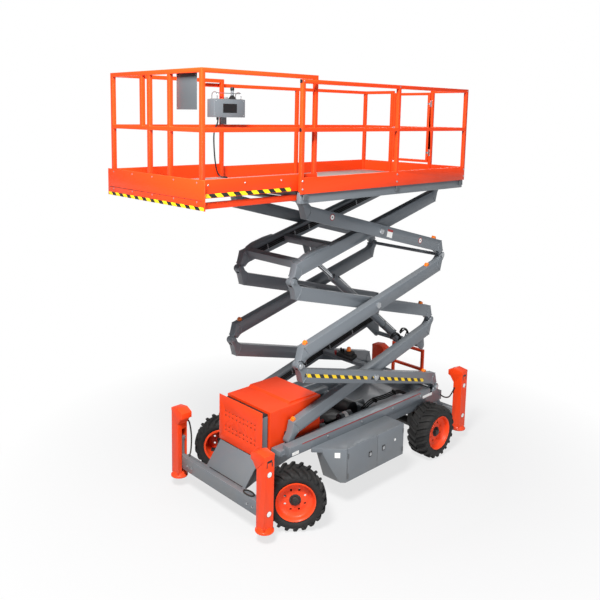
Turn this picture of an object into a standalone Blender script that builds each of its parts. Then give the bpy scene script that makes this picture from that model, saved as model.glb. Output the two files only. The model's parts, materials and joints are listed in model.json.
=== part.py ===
# Rough-terrain scissor lift with a roll-out deck extension and four outriggers.
# Metres, +Z up, +X to the machine's front, +Y to its left, origin on the ground below the chassis.
import bpy
import bmesh
import math
from mathutils import Matrix, Vector

# Fits and clearances
faceGap = 0.0003
moveGap = 0.006
pinGap = 0.0012

# Wheels and axles
tyreRadius = 0.33
tyreWidth = 0.29
rimRadius = 0.2125
beadRadius = 0.2025
lugHeight = 0.028
lugCount = 14
wheelY = 0.744
frontWheelY = 0.765
rearAxleX = -0.958
frontAxleX = 1.36
kingpinY = 0.61
steerLeft = -38.0
steerRight = -45.0
spindleRadius = 0.034
hubSeat = 0.02

# Scissor stack
armPins = 2.671
armAngle = 19.1
armHeight = 0.145
armWidth = 0.09
stackPitch = 0.212
armOuterY = 0.55
armInnerY = 0.43
baseX = -1.2616
baseZ = 0.7825
bossRadius = 0.042
pinRadius = 0.022
forkHalf = 0.0245
centrePin = 0.03

# Lift cylinder, as seen at rest
liftBase = (-1.20, 1.29)
liftEye = (0.50, 2.61)
barrelRadius = 0.047
liftShaft = 0.03
eyeHalf = 0.0555
eyeRadius = 0.052
rodRadius = 0.028
barrelLength = 1.71
rodLength = 1.67
eyeTubeX = 0.59
eyeTubeSize = 0.08
midTubeX = 0.40
midTubeSize = 0.07
endTubeInset = 0.17
endTubeRise = 0.028
endTubeSize = 0.085

# Chassis
railTop = 0.735
railBack = -1.40
railEnd = -1.30
railCrest = 0.79
crestBack = -1.12
crestInner = 0.487
railFront = 1.40
railOuter = 0.60
railWidth = 0.085
railDeep = 0.165
wheelTopGap = 0.02
trackFront = 1.47
trackBack = -0.25
hoodFront = 1.47
hoodBack = 0.70
hoodHalf = 0.36
hoodTop = 1.12
sheet = 0.012
engineBack = 0.78
engineFront = 1.32
engineHalf = 0.27
engineTop = 1.04
rockerHalf = 0.12
rockerTop = 1.08
radiatorBack = 1.48
radiatorHalf = 0.33
radiatorTop = 1.10
panelThick = 0.008
panelHalf = 0.362
panelX = 1.59
panelLow = 0.62
panelTop = 1.147
bumperX = 1.888
bumperLow = 0.228
bumperTop = 0.383
bumperHalf = 0.66
beamDeep = 0.088
cabinetFace = 0.88
cabinetFront = 0.82
cabinetBack = -0.20
cabinetLow = 0.305
cabinetTop = 0.69
doorSplit = 0.281
doorFront = 0.795

# Outriggers
legX = 1.875
legBackX = -1.66
legY = 0.738
legBackY = 0.70
legSize = 0.125
legWall = 0.012
legTop = 0.93
padRadius = 0.098
padLow = 0.12
padHigh = 0.05
guideSize = 0.085
guideTop = 0.60

# Platform
deckFront = 1.50
deckBack = -1.30
deckHalf = 0.812
floorRise = 0.127
toeHigh = 0.138
railHigh = 1.076
midHigh = 0.597
tube = 0.04
extensionOut = 1.19
extensionBack = 1.26
extensionToe = 0.172
plateThick = 0.010
slideBack = 1.32
slideInset = 0.077
slideWidth = 0.045
slideLow = 0.091
slideTop = 0.035
skidInset = 0.152
skidWidth = 0.06
skidLength = 0.16
consoleX = 1.06
consoleLong = 0.44
consoleDeep = 0.13
consoleLow = 0.70
consoleTop = 0.90
plateInset = 0.182
plateWide = 0.30
plateLow = 0.77
plateTop = 1.085
gateNear = 0.2825
gateFar = -0.30

armTilt = math.radians(armAngle)
foldTilt = math.asin(stackPitch / armPins)
tubeTilt = armTilt - foldTilt
armRise = armPins * math.sin(armTilt)
armRun = armPins * math.cos(armTilt)
frontX = baseX + armRun
midX = baseX + armRun / 2
topZ = baseZ + 3 * armRise
floorZ = topZ + floorRise
tongueHalf = forkHalf - faceGap
gateHinge = (deckBack - 0.0165 + tube + 0.0063, gateNear + moveGap / 2)

colours = {
    "orange": ((0.90, 0.10, 0.022, 1.0), 0.38, 0.0),
    "grey": ((0.155, 0.17, 0.18, 1.0), 0.45, 0.0),
    "dark": ((0.02, 0.02, 0.022, 1.0), 0.6, 0.0),
    "rubber": ((0.018, 0.018, 0.018, 1.0), 0.85, 0.0),
    "steel": ((0.55, 0.56, 0.57, 1.0), 0.3, 1.0),
    "floor": ((0.33, 0.34, 0.35, 1.0), 0.55, 0.0),
}


def clearScene():
    for item in list(bpy.data.objects):
        bpy.data.objects.remove(item, do_unlink=True)


def material(name, colour):
    rgba, rough, metal = colours[colour]
    mat = bpy.data.materials.new(name)
    mat.use_nodes = True
    shader = mat.node_tree.nodes["Principled BSDF"]
    shader.inputs["Base Color"].default_value = rgba
    shader.inputs["Roughness"].default_value = rough
    shader.inputs["Metallic"].default_value = metal
    mat.diffuse_color = rgba
    return mat


# A solid is a pair (points, faces) until it is joined with others.
def hull(points):
    mesh = bmesh.new()
    for point in points:
        mesh.verts.new(point)
    bmesh.ops.convex_hull(mesh, input=mesh.verts)
    return meshData(mesh)


def meshData(mesh):
    bmesh.ops.recalc_face_normals(mesh, faces=mesh.faces)
    mesh.verts.index_update()
    points = [tuple(v.co) for v in mesh.verts]
    faces = [tuple(v.index for v in f.verts) for f in mesh.faces]
    mesh.free()
    return points, faces


def box(x, y, z):
    points = [(a, b, c) for a in x for b in y for c in z]
    faces = [(0, 1, 3, 2), (4, 6, 7, 5), (0, 4, 5, 1), (2, 3, 7, 6), (0, 2, 6, 4), (1, 5, 7, 3)]
    return points, faces


def prism(outline, axis, low, high):
    # A flat outline swept straight along one axis.
    def place(a, b, c):
        return {"x": (c, a, b), "y": (a, c, b), "z": (a, b, c)}[axis]
    count = len(outline)
    points = [place(a, b, low) for a, b in outline] + [place(a, b, high) for a, b in outline]
    faces = [tuple(range(count)), tuple(range(2 * count - 1, count - 1, -1))]
    for i in range(count):
        j = (i + 1) % count
        faces.append((j, i, i + count, j + count))
    mesh = bmesh.new()
    verts = [mesh.verts.new(p) for p in points]
    for face in faces:
        mesh.faces.new([verts[i] for i in face])
    return meshData(mesh)


def arc(centre, radius, start, end, steps):
    result = []
    for i in range(steps + 1):
        a = math.radians(start + (end - start) * i / steps)
        result.append((centre[0] + radius * math.cos(a), centre[1] + radius * math.sin(a)))
    return result


def rod(start, end, radius, sides=12):
    start, end = Vector(start), Vector(end)
    turn = Vector((0, 0, 1)).rotation_difference(end - start).to_matrix()
    length = (end - start).length
    ring = arc((0, 0), radius, 0, 360, sides)[:-1]
    points = [tuple(start + turn @ Vector((a, b, 0))) for a, b in ring]
    points += [tuple(start + turn @ Vector((a, b, length))) for a, b in ring]
    faces = [tuple(range(sides - 1, -1, -1)), tuple(range(sides, 2 * sides))]
    for i in range(sides):
        j = (i + 1) % sides
        faces.append((i, j, j + sides, i + sides))
    return points, faces


def bar(start, end, width, height):
    # A square bar between two points, its height side kept as upright as it can be.
    start, end = Vector(start), Vector(end)
    ahead = (end - start).normalized()
    side = ahead.cross(Vector((0, 0, 1)))
    side = side.normalized() if side.length > 0.001 else Vector((1, 0, 0))
    up = side.cross(ahead)
    points = []
    for place in (start, end):
        for a, b in ((-1, -1), (1, -1), (1, 1), (-1, 1)):
            points.append(tuple(place + side * a * width / 2 + up * b * height / 2))
    return hull(points)


def spun(profile, sides):
    # A closed outline of (y, radius) turned about the Y axis.
    count = len(profile)
    points = []
    for i in range(sides):
        a = 2 * math.pi * i / sides
        points += [(r * math.cos(a), y, r * math.sin(a)) for y, r in profile]
    faces = []
    for i in range(sides):
        for j in range(count):
            a, b = i * count + j, i * count + (j + 1) % count
            c, d = ((i + 1) % sides) * count + (j + 1) % count, ((i + 1) % sides) * count + j
            faces.append((a, b, c, d))
    mesh = bmesh.new()
    verts = [mesh.verts.new(p) for p in points]
    for face in faces:
        mesh.faces.new([verts[i] for i in face])
    return meshData(mesh)


def moved(solid, matrix):
    points, faces = solid
    return [tuple(matrix @ Vector(p)) for p in points], faces


def mirrored(solid):
    points, faces = solid
    return [(x, -y, z) for x, y, z in points], [tuple(reversed(f)) for f in faces]


def bothSides(solids):
    return solids + [mirrored(s) for s in solids]


def meshObject(name, solid):
    mesh = bpy.data.meshes.new(name)
    mesh.from_pydata(solid[0], [], solid[1])
    mesh.update()
    item = bpy.data.objects.new(name, mesh)
    bpy.context.scene.collection.objects.link(item)
    return item


def combine(item, solids, operation):
    group = bpy.data.collections.new("operands")
    bpy.context.scene.collection.children.link(group)
    for i, solid in enumerate(solids):
        piece = meshObject("operand%d" % i, solid)
        bpy.context.scene.collection.objects.unlink(piece)
        group.objects.link(piece)
    modifier = item.modifiers.new(operation, "BOOLEAN")
    modifier.operation = operation
    modifier.solver = "EXACT"
    modifier.operand_type = "COLLECTION"
    modifier.collection = group
    bpy.context.view_layer.update()
    graph = bpy.context.evaluated_depsgraph_get()
    mesh = bpy.data.meshes.new_from_object(item.evaluated_get(graph))
    item.modifiers.clear()
    item.data = mesh
    for piece in list(group.objects):
        bpy.data.objects.remove(piece, do_unlink=True)
    bpy.data.collections.remove(group)


def tidyMesh(item):
    mesh = bmesh.new()
    mesh.from_mesh(item.data)
    bmesh.ops.remove_doubles(mesh, verts=mesh.verts, dist=0.00005)
    bmesh.ops.dissolve_limit(mesh, angle_limit=math.radians(0.1), verts=mesh.verts, edges=mesh.edges)
    bmesh.ops.dissolve_degenerate(mesh, edges=mesh.edges, dist=0.00005)
    bmesh.ops.triangulate(mesh, faces=mesh.faces, ngon_method="EAR_CLIP")
    # A keyhole face can fold back on itself as two equal triangles, which cancel out
    twins = {}
    for face in mesh.faces:
        twins.setdefault(frozenset(v.index for v in face.verts), []).append(face)
    folded = [f for pair in twins.values() if len(pair) > 1 for f in pair]
    bmesh.ops.delete(mesh, geom=folded, context="FACES_ONLY")
    bmesh.ops.delete(mesh, geom=[e for e in mesh.edges if not e.link_faces], context="EDGES")
    bmesh.ops.recalc_face_normals(mesh, faces=mesh.faces)
    mesh.to_mesh(item.data)
    mesh.free()


def part(name, colour, solids, cuts=(), origin=(0, 0, 0)):
    item = meshObject(name, solids[0])
    if len(solids) > 1:
        combine(item, solids[1:], "UNION")
    if cuts:
        combine(item, list(cuts), "DIFFERENCE")
    tidyMesh(item)
    item.data.transform(Matrix.Translation(-Vector(origin)))
    item.location = origin
    item.data.materials.clear()
    item.data.materials.append(material(name, colour))
    return item


# Wheels
def treadLug(side, angle):
    # One chevron bar, from the middle of the tread out over the shoulder.
    low, high = tyreRadius - lugHeight - 0.012, tyreRadius
    table = ((0.008, 0.0, high), (0.140, 0.24, high - 0.006))
    half = 0.06
    points = []
    for y, lead, top in table:
        for radius in (low, top):
            for edge in (-half, half):
                a = angle + lead + edge * (1.0 if radius == low else 0.82)
                points.append((radius * math.cos(a), side * y, radius * math.sin(a)))
    return hull(points)


def tyreSolids():
    half = tyreWidth / 2
    carcass = tyreRadius - lugHeight
    lip = rimRadius + 0.0015
    profile = [(-half + 0.022, beadRadius), (-half + 0.022, lip), (-half, 0.250), (-half + 0.018, carcass)]
    profile += [(half - 0.018, carcass), (half, 0.250), (half - 0.022, lip), (half - 0.022, beadRadius)]
    solids = [spun(profile, 28)]
    for i in range(lugCount):
        angle = 2 * math.pi * i / lugCount
        solids.append(treadLug(1, angle))
        solids.append(treadLug(-1, angle + math.pi / lugCount))
    return solids


def rimSolids():
    half = tyreWidth / 2
    seat = beadRadius - faceGap
    edge = half - 0.022 + faceGap
    profile = [(-edge - 0.012, seat - 0.012), (-edge - 0.012, rimRadius), (-edge, rimRadius)]
    profile += [(-edge, seat), (edge, seat), (edge, rimRadius), (edge + 0.012, rimRadius)]
    profile += [(edge + 0.012, seat - 0.012), (0.075, seat - 0.016), (0.055, 0.150), (0.062, 0.055)]
    profile += [(0.048, 0.055), (0.040, 0.150), (0.045, seat - 0.020), (-edge + 0.004, seat - 0.014)]
    return [spun(profile, 28), rod((0, hubSeat, 0), (0, 0.098, 0), 0.07, 14)]


def wheel(name, centre, side, steer):
    place = Matrix.Translation(centre) @ Matrix.Rotation(math.radians(steer), 4, "Z")
    if side < 0:
        place = place @ Matrix.Rotation(math.pi, 4, "Z")
    tyre = [moved(s, place) for s in tyreSolids()]
    part("tyre_" + name, "rubber", tyre, origin=centre)
    rim = [moved(s, place) for s in rimSolids()]
    bore = rod((0, -0.01, 0), (0, 0.0655, 0), spindleRadius + pinGap, 12)
    holes = []
    for i in range(8):
        a = math.pi * (i + 0.5) / 4
        x, z = 0.112 * math.cos(a), 0.112 * math.sin(a)
        holes.append(moved(rod((x, 0.02, z), (x, 0.09, z), 0.014, 6), place))
    part("rim_" + name, "orange", rim, [moved(bore, place)] + holes, centre)


def kingpinOffset(side, steer):
    # Where the wheel's centre stands once it is steered about its kingpin.
    offset = frontWheelY - kingpinY
    turn = Matrix.Rotation(math.radians(steer), 3, "Z")
    return turn @ Vector((0, side * offset, 0))


def frontWheels():
    for name, side, steer in (("front_left", 1, steerLeft), ("front_right", -1, steerRight)):
        pin = Vector((frontAxleX, side * kingpinY, tyreRadius))
        centre = pin + kingpinOffset(side, steer)
        wheel(name, tuple(centre), side, steer)
        place = Matrix.Translation(pin) @ Matrix.Rotation(math.radians(steer), 4, "Z")
        if side < 0:
            place = place @ Matrix.Rotation(math.pi, 4, "Z")
        offset = frontWheelY - kingpinY
        solids = [rod((0, 0, -0.088), (0, 0, 0.088), 0.042)]
        solids.append(rod((0, 0, 0), (0, offset + 0.064, 0), spindleRadius))
        solids.append(rod((0, 0.02, 0), (0, offset + hubSeat - faceGap, 0), 0.058))
        solids.append(bar((0, 0, -0.03), (-0.12, 0.015, -0.03), 0.04, 0.03))
        solids = [moved(s, place) for s in solids]
        part("knuckle_" + name[6:], "dark", solids, origin=tuple(pin))


def rearWheels():
    for name, side in (("rear_left", 1), ("rear_right", -1)):
        wheel(name, (rearAxleX, side * wheelY, tyreRadius), side, 0)


def axles():
    z = tyreRadius
    yoke = 0.088 + faceGap
    end = kingpinY - 0.10
    solids = [box((frontAxleX - 0.05, frontAxleX + 0.05), (-end, end), (z - 0.05, z + 0.05))]
    for side in (1, -1):
        y = sorted((side * (end - 0.04), side * (end + 0.035)))
        solids.append(box((frontAxleX - 0.035, frontAxleX + 0.035), y, (z - 0.115, z + 0.115)))
        y = sorted((side * end, side * (kingpinY + 0.035)))
        for low, high in ((z + yoke, z + 0.115), (z - 0.115, z - yoke)):
            solids.append(box((frontAxleX - 0.035, frontAxleX + 0.035), y, (low, high)))
    solids.append(rod((frontAxleX - 0.16, 0, z), (frontAxleX + 0.11, 0, z), 0.085))
    post = (frontAxleX - 0.06, frontAxleX + 0.06)
    solids.append(box(post, (-0.11, 0.11), (z + 0.04, 0.56 - faceGap)))
    part("front_axle", "dark", solids)
    ends = wheelY + 0.064
    solids = [rod((rearAxleX, -ends, z), (rearAxleX, ends, z), spindleRadius)]
    flange = wheelY + hubSeat - faceGap
    solids.append(rod((rearAxleX, -flange, z), (rearAxleX, flange, z), 0.058))
    solids.append(rod((rearAxleX - 0.14, 0, z), (rearAxleX + 0.14, 0, z), 0.11))
    for side in (1, -1):
        y = sorted((side * 0.42, side * 0.50))
        top = railTop - railDeep - sheet - faceGap
        solids.append(box((rearAxleX - 0.06, rearAxleX + 0.06), y, (z, top)))
    part("rear_axle", "dark", solids)


# Scissor arms, drawn on the tube's own line and then laid at their rest angle.
def armPlace(level, rising):
    centre = (midX, 0, baseZ + armRise * (level - 0.5))
    place = Matrix.Translation(centre)
    if rising < 0:
        place = place @ Matrix.Rotation(math.pi, 4, "Z")
    return place @ Matrix.Rotation(-tubeTilt, 4, "Y")


def armOutline():
    reach = armPins / 2 * math.cos(foldTilt)
    drop = stackPitch / 2
    half = armHeight / 2
    end = arc((reach, drop), bossRadius, 155, -40, 7)
    outline = [(reach - 0.118, half), (reach - 0.058, drop - 0.006)] + end
    outline += [(reach - 0.022, 0.035), (reach - 0.085, -half)]
    return outline + [(-a, -b) for a, b in outline]


def arm(level, rising, y, low, top, extras):
    # low and top say how the arm ends: tongue, fork or block.
    place = armPlace(level, rising)
    reach = armPins / 2 * math.cos(foldTilt)
    drop = stackPitch / 2
    half = armWidth / 2
    clear = bossRadius + 0.014
    solids = [prism(armOutline(), "y", y - half, y + half)]
    cuts = []
    for kind, u, v in ((low, -reach, -drop), (top, reach, drop)):
        if kind == "tongue":
            cuts.append(rod((u, y + tongueHalf, v), (u, y + half + 0.02, v), clear, 16))
            cuts.append(rod((u, y - half - 0.02, v), (u, y - tongueHalf, v), clear, 16))
            if "lowRod" not in extras:
                cuts.append(rod((u, y - 0.1, v), (u, y + 0.1, v), pinRadius + pinGap))
        if kind == "fork":
            cuts.append(rod((u, y - forkHalf, v), (u, y + forkHalf, v), clear, 16))
    if y == armInnerY:
        cuts.append(rod((0, y - 0.1, 0), (0, y + 0.1, 0), centrePin + pinGap, 16))
    solids = [moved(s, place) for s in bothSides(solids)]
    cuts = [moved(s, place) for s in bothSides(cuts)]
    return solids, cuts, place, reach, drop


def pinsAcross(place, u, v, y, across):
    half = armWidth / 2 + 0.004
    if across:
        return [moved(rod((u, -y - half, v), (u, y + half, v), pinRadius), place)]
    pin = rod((u, y - half, v), (u, y + half, v), pinRadius)
    return [moved(s, place) for s in bothSides([pin])]


def buildArm(name, level, rising, y, low, top, extras):
    solids, cuts, place, reach, drop = arm(level, rising, y, low, top, extras)
    later = []
    if top == "fork":
        later += pinsAcross(place, reach, drop, y, "topRod" in extras)
    if top == "block":
        later += pinsAcross(place, reach, drop, y, True)
    if "lowRod" in extras:
        later += pinsAcross(place, -reach, -drop, y, True)
    if y == armOuterY:
        low, high = armInnerY - armWidth / 2 - 0.006, armOuterY + armWidth / 2 + 0.004
        caps = [rod((0, low, 0), (0, high, 0), centrePin)]
        caps.append(rod((0, high - 0.006, 0), (0, high + 0.006, 0), centrePin + 0.012))
        later += [moved(s, place) for s in bothSides(caps)]
    for u, v, size in extras.get("tubes", ()):
        span = (-y + 0.02, y - 0.02)
        tubes = box((u - size / 2, u + size / 2), span, (v - size / 2, v + size / 2))
        later.append(moved(tubes, place))
    later += extras.get("world", [])
    item = meshObject(name, solids[0])
    combine(item, solids[1:], "UNION")
    for cut in cuts:
        combine(item, [cut], "DIFFERENCE")
    combine(item, later, "UNION")
    for cut in extras.get("worldCuts", []):
        combine(item, [cut], "DIFFERENCE")
    tidyMesh(item)
    origin = extras["origin"]
    item.data.transform(Matrix.Translation(-Vector(origin)))
    item.location = origin
    item.data.materials.clear()
    item.data.materials.append(material(name, "grey"))


def liftLugs(centre, anchor, width):
    # Two ears that hold a cylinder's pin, running from the cross tube to the pin.
    solids = []
    for side in (1, -1):
        y = (side * (width - 0.006), side * (width + 0.006))
        ring = [(centre[0] + 0.045 * math.cos(a), b, centre[1] + 0.045 * math.sin(a))
                for a in [math.pi * i / 6 for i in range(12)] for b in y]
        ring += [(anchor[0] + a, b, anchor[1] + c) for a in (-0.04, 0.04) for c in (-0.04, 0.04) for b in y]
        solids.append(hull(ring))
    return solids


def scissorArms():
    reach = armPins / 2 * math.cos(foldTilt)
    inside = armInnerY - armWidth / 2
    place = armPlace(1, -1)
    pin = place.inverted() @ Vector((liftBase[0], 0, liftBase[1]))
    outline = [(pin.x + 0.07, -0.03), (pin.x - 0.20, -0.03)]
    outline += arc((pin.x, pin.z), 0.05, 200, 350, 6)
    base = bothSides([moved(prism(outline, "y", inside - 0.018, inside + 0.001), place)])
    across = (inside - 0.005, -inside + 0.005)
    base.append(rod((liftBase[0], across[1], liftBase[1]), (liftBase[0], across[0], liftBase[1]), liftShaft))
    collar = (eyeHalf + faceGap, eyeHalf + 0.02)
    base += bothSides([rod((liftBase[0], collar[0], liftBase[1]), (liftBase[0], collar[1], liftBase[1]), 0.044)])
    eyeTube = armPlace(3, -1) @ Vector((-eyeTubeX, 0, 0))
    eye = liftLugs(liftEye, (eyeTube.x, eyeTube.z), eyeHalf + faceGap + 0.006)
    low, high = eyeHalf + 0.003, eyeHalf + 0.028
    eye += bothSides([rod((liftEye[0], low, liftEye[1]), (liftEye[0], high, liftEye[1]), pinRadius)])
    level = [baseZ + armRise * i for i in range(4)]
    centre = [baseZ + armRise * (i + 0.5) for i in range(3)]
    buildArm("arm_outer_1", 1, 1, armOuterY, "tongue", "fork",
             {"lowRod": True, "origin": (baseX, 0, level[0])})
    buildArm("arm_inner_1", 1, -1, armInnerY, "block", "fork",
             {"world": base, "origin": (midX, 0, centre[0])})
    buildArm("arm_outer_2", 2, -1, armOuterY, "tongue", "fork",
             {"topRod": True, "origin": (frontX, 0, level[1])})
    buildArm("arm_inner_2", 2, 1, armInnerY, "tongue", "fork",
             {"tubes": [(midTubeX, 0, midTubeSize)], "origin": (midX, 0, centre[1])})
    buildArm("arm_outer_3", 3, 1, armOuterY, "tongue", "block",
             {"origin": (baseX, 0, level[2])})
    buildArm("arm_inner_3", 3, -1, armInnerY, "tongue", "fork",
             {"tubes": [(-reach + endTubeInset, endTubeRise, endTubeSize), (-eyeTubeX, 0, eyeTubeSize)],
              "world": eye, "origin": (midX, 0, centre[2])})


def liftCylinder():
    start = Vector((liftBase[0], 0, liftBase[1]))
    end = Vector((liftEye[0], 0, liftEye[1]))
    ahead = (end - start).normalized()
    gland = start + ahead * barrelLength
    half = eyeHalf
    solids = [rod(start + ahead * 0.03, gland, barrelRadius, 20)]
    solids.append(rod(start + Vector((0, -half, 0)), start + Vector((0, half, 0)), eyeRadius))
    solids.append(rod(gland - ahead * 0.06, gland + ahead * 0.012, barrelRadius + 0.0035, 20))
    bore = rod(start + ahead * 0.10, gland + ahead * 0.05, rodRadius + 0.002, 16)
    hole = rod(start + Vector((0, -0.1, 0)), start + Vector((0, 0.1, 0)), liftShaft + pinGap)
    part("lift_barrel", "grey", solids, [bore, hole], tuple(start))
    solids = [rod(end - ahead * 0.035, end - ahead * rodLength, rodRadius, 16)]
    solids.append(rod(end + Vector((0, -half, 0)), end + Vector((0, half, 0)), 0.045))
    hole = rod(end + Vector((0, -0.1, 0)), end + Vector((0, 0.1, 0)), pinRadius + pinGap)
    part("lift_rod", "steel", solids, [hole], tuple(end))


# Chassis
def chassisFrame():
    inner = railOuter - railWidth
    highLow = 2 * tyreRadius + wheelTopGap
    deep = railTop - railDeep
    narrow = 0.62
    solids = [box((railEnd, crestBack + 0.01), (inner, railOuter), (highLow, railTop))]
    solids.append(box((crestBack, railFront), (crestInner, railOuter), (highLow, railCrest)))
    solids.append(box((railBack, narrow), (inner, railOuter - 0.012), (deep, highLow + 0.01)))
    track = baseZ - bossRadius - faceGap
    inside = armInnerY - armWidth / 2
    solids.append(box((trackBack, trackFront), (inside, inner + 0.005), (highLow, track)))
    lugs = []
    for low, high in ((forkHalf, armWidth / 2), (-armWidth / 2, -forkHalf)):
        outline = [(baseX - 0.035, railTop - 0.02), (baseX + 0.09, railTop - 0.02)]
        outline += arc((baseX, baseZ), bossRadius, 10, 170, 8)
        lugs.append(prism(outline, "y", armOuterY + low, armOuterY + high))
    solids += lugs
    solids = bothSides(solids)
    for x in (1.42, narrow - 0.04, -0.20, railBack + 0.03):
        low = highLow if x > narrow else deep
        solids.append(box((x - 0.03, x + 0.03), (-inner - 0.01, inner + 0.01), (low, railTop - 0.035)))
    solids.append(box((railBack, narrow), (-inner - 0.01, inner + 0.01), (deep - 0.012, deep + 0.004)))
    # The narrow front frame between the steered wheels, its nose plate and the bumper stays
    for side in (1, -1):
        y = sorted((side * 0.27, side * 0.29))
        outline = [(narrow - 0.09, 0.56), (1.62, 0.36), (1.81, 0.30), (1.81, 0.35), (1.60, 0.60)]
        outline += [(1.579, 0.615), (1.579, railTop - 0.035), (narrow - 0.09, railTop - 0.035)]
        solids.append(prism(outline, "y", y[0], y[1]))
    outline = [(1.586, 0.612), (1.79, 0.352), (1.797, 0.366), (1.598, 0.617)]
    solids.append(prism(outline, "y", -0.33, 0.33))
    solids.append(box((narrow - 0.05, 1.60), (-0.28, 0.28), (0.56, 0.575)))
    cuts = []
    for side in (1, -1):
        y = armOuterY * side
        cuts.append(rod((baseX, y - 0.08, baseZ), (baseX, y + 0.08, baseZ), pinRadius + pinGap))
    part("chassis_frame", "grey", solids, cuts)


def beamSpan(facing):
    outer = bumperX if facing > 0 else legBackX - beamDeep / 2
    return sorted((outer, outer - facing * beamDeep))


def beamStub(facing):
    # The tongue that reaches from a beam through the leg's slot to its guide post.
    low, high = beamSpan(facing)
    guide = legX if facing > 0 else legBackX
    reach = legSize / 2 - legWall - moveGap
    return max(low + sheet, guide - reach), min(high - sheet, guide + reach)


def crossBeam(facing, half, guideX, guideY):
    xs = beamSpan(facing)
    stub = beamStub(facing)
    solids = [box(xs, (-half, half), (bumperLow, bumperTop))]
    size = guideSize / 2
    for side in (1, -1):
        y = side * guideY
        solids.append(box((guideX - size, guideX + size), (y - size, y + size), (bumperLow, guideTop)))
        pad = legSize / 2 - legWall - faceGap
        for low in (bumperLow, guideTop - 0.035):
            solids.append(box((guideX - pad, guideX + pad), (y - pad, y + pad), (low, low + 0.035)))
        edge = sorted((side * (half - 0.02), y - side * size * 0.2))
        solids.append(box(stub, edge, (bumperLow, bumperTop)))
    return solids


def beams():
    solids = crossBeam(1, bumperHalf - 0.004, legX, legY)
    inner = bumperX - 0.088
    cut = box((inner - 0.01, bumperX - 0.012), (-0.56, 0.56), (bumperLow + 0.012, bumperTop - 0.012))
    stays = []
    for side in (1, -1):
        y = sorted((side * 0.27, side * 0.29))
        stays.append(box((1.81 + faceGap, bumperX - 0.006), y, (bumperLow + 0.006, bumperTop - 0.006)))
    item = meshObject("front_bumper", solids[0])
    combine(item, solids[1:], "UNION")
    combine(item, [cut], "DIFFERENCE")
    combine(item, stays, "UNION")
    finish(item, "grey")
    backX = legBackX + 0.044
    solids = crossBeam(-1, legBackY - legSize / 2 - 0.012, legBackX, legBackY)
    for side in (1, -1):
        y = sorted((side * 0.40, side * 0.46))
        outline = [(backX - 0.02, 0.25), (backX - 0.02, 0.38), (railBack - faceGap, 0.66)]
        outline += [(railBack - faceGap, 0.57)]
        solids.append(prism(outline, "y", y[0], y[1]))
    part("rear_beam", "grey", solids)


def finish(item, colour):
    tidyMesh(item)
    item.data.materials.clear()
    item.data.materials.append(material(item.name, colour))


def outrigger(name, x, y, facing):
    # A box leg that slides on the beam's guide post, open on its inner side for the beam.
    side = 1 if y > 0 else -1
    half = legSize / 2
    foot = padLow + padHigh
    solids = [box((x - half, x + half), (y - half, y + half), (foot - 0.01, legTop))]
    roof = [(y + side * half, legTop - 0.02), (y + side * half, legTop + 0.012)]
    roof += [(y - side * half, legTop + 0.03), (y - side * (half + 0.085), legTop - 0.01)]
    roof += [(y - side * (half + 0.085), legTop - 0.075), (y - side * (half + 0.05), legTop - 0.09)]
    roof += [(y - side * half, legTop - 0.16)]
    solids.append(prism(roof, "x", x - half - 0.006, x + half + 0.006))
    solids.append(rod((x, y, padLow), (x, y, padLow + 0.016), padRadius, 24))
    cone = [(x + (padRadius - 0.006) * math.cos(a), y + (padRadius - 0.006) * math.sin(a), padLow + 0.012)
            for a in [math.pi * i / 12 for i in range(24)]]
    cone += [(x + 0.07 * math.cos(a), y + 0.07 * math.sin(a), foot)
             for a in [math.pi * i / 12 for i in range(24)]]
    solids.append(hull(cone))
    inner = half - legWall
    cuts = [box((x - inner, x + inner), (y - inner, y + inner), (foot + 0.006, legTop - 0.03))]
    ys = sorted((y - side * (half + 0.02), y - side * (inner - 0.01)))
    low, high = beamStub(facing)
    cuts.append(box((low - moveGap, high + moveGap), ys, (foot + 0.006, 0.70)))
    part(name, "orange", solids, cuts, (x, y, 0))


def outriggers():
    outrigger("leg_front_left", legX, legY, 1)
    outrigger("leg_front_right", legX, -legY, 1)
    outrigger("leg_rear_left", legBackX, legBackY, -1)
    outrigger("leg_rear_right", legBackX, -legBackY, -1)


def hoodAndFront():
    low = railTop - 0.035 + faceGap
    thick = sheet
    outer = box((hoodBack, hoodFront), (-hoodHalf, hoodHalf), (low, hoodTop))
    crown = [(hoodBack, hoodTop - 0.01), (hoodFront - 0.3, hoodTop - 0.01)]
    crown += [(hoodFront - 0.34, hoodTop + 0.02), (hoodBack + 0.02, hoodTop + 0.012)]
    solids = [outer, prism(crown, "y", -hoodHalf, hoodHalf - 0.05)]
    inside = box((hoodBack + thick, hoodFront - thick), (-hoodHalf + thick, hoodHalf - thick),
                 (low - 0.05, hoodTop - thick))
    part("hood", "orange", solids, [inside], (hoodBack, 0, low))
    block = [box((engineBack, engineFront), (-engineHalf, engineHalf), (low, engineTop))]
    rocker = (engineBack + 0.04, engineFront - 0.04)
    block.append(box(rocker, (-rockerHalf, rockerHalf), (engineTop - 0.04, rockerTop)))
    part("engine_block", "dark", block)
    coreFront = panelX - sheet
    core = [box((radiatorBack, coreFront), (-radiatorHalf, radiatorHalf), (low, radiatorTop))]
    part("radiator", "dark", core)
    face = [box((panelX - panelThick, panelX), (-panelHalf, panelHalf), (panelLow, panelTop))]
    holes = []
    for row in range(2):
        for col in range(9):
            y = -0.25 + col * 0.062
            for z in (0.975 - row * 0.05, 0.80 - row * 0.05):
                holes.append(rod((panelX - 0.02, y, z), (panelX + 0.02, y, z), 0.011, 6))
    tabHalf = radiatorHalf - 0.03
    tabs = [box((coreFront + faceGap, panelX - panelThick + 0.002), (-tabHalf, tabHalf),
                (radiatorTop - 0.05, radiatorTop - 0.02))]
    part("front_panel", "orange", face + tabs, holes)


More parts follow.
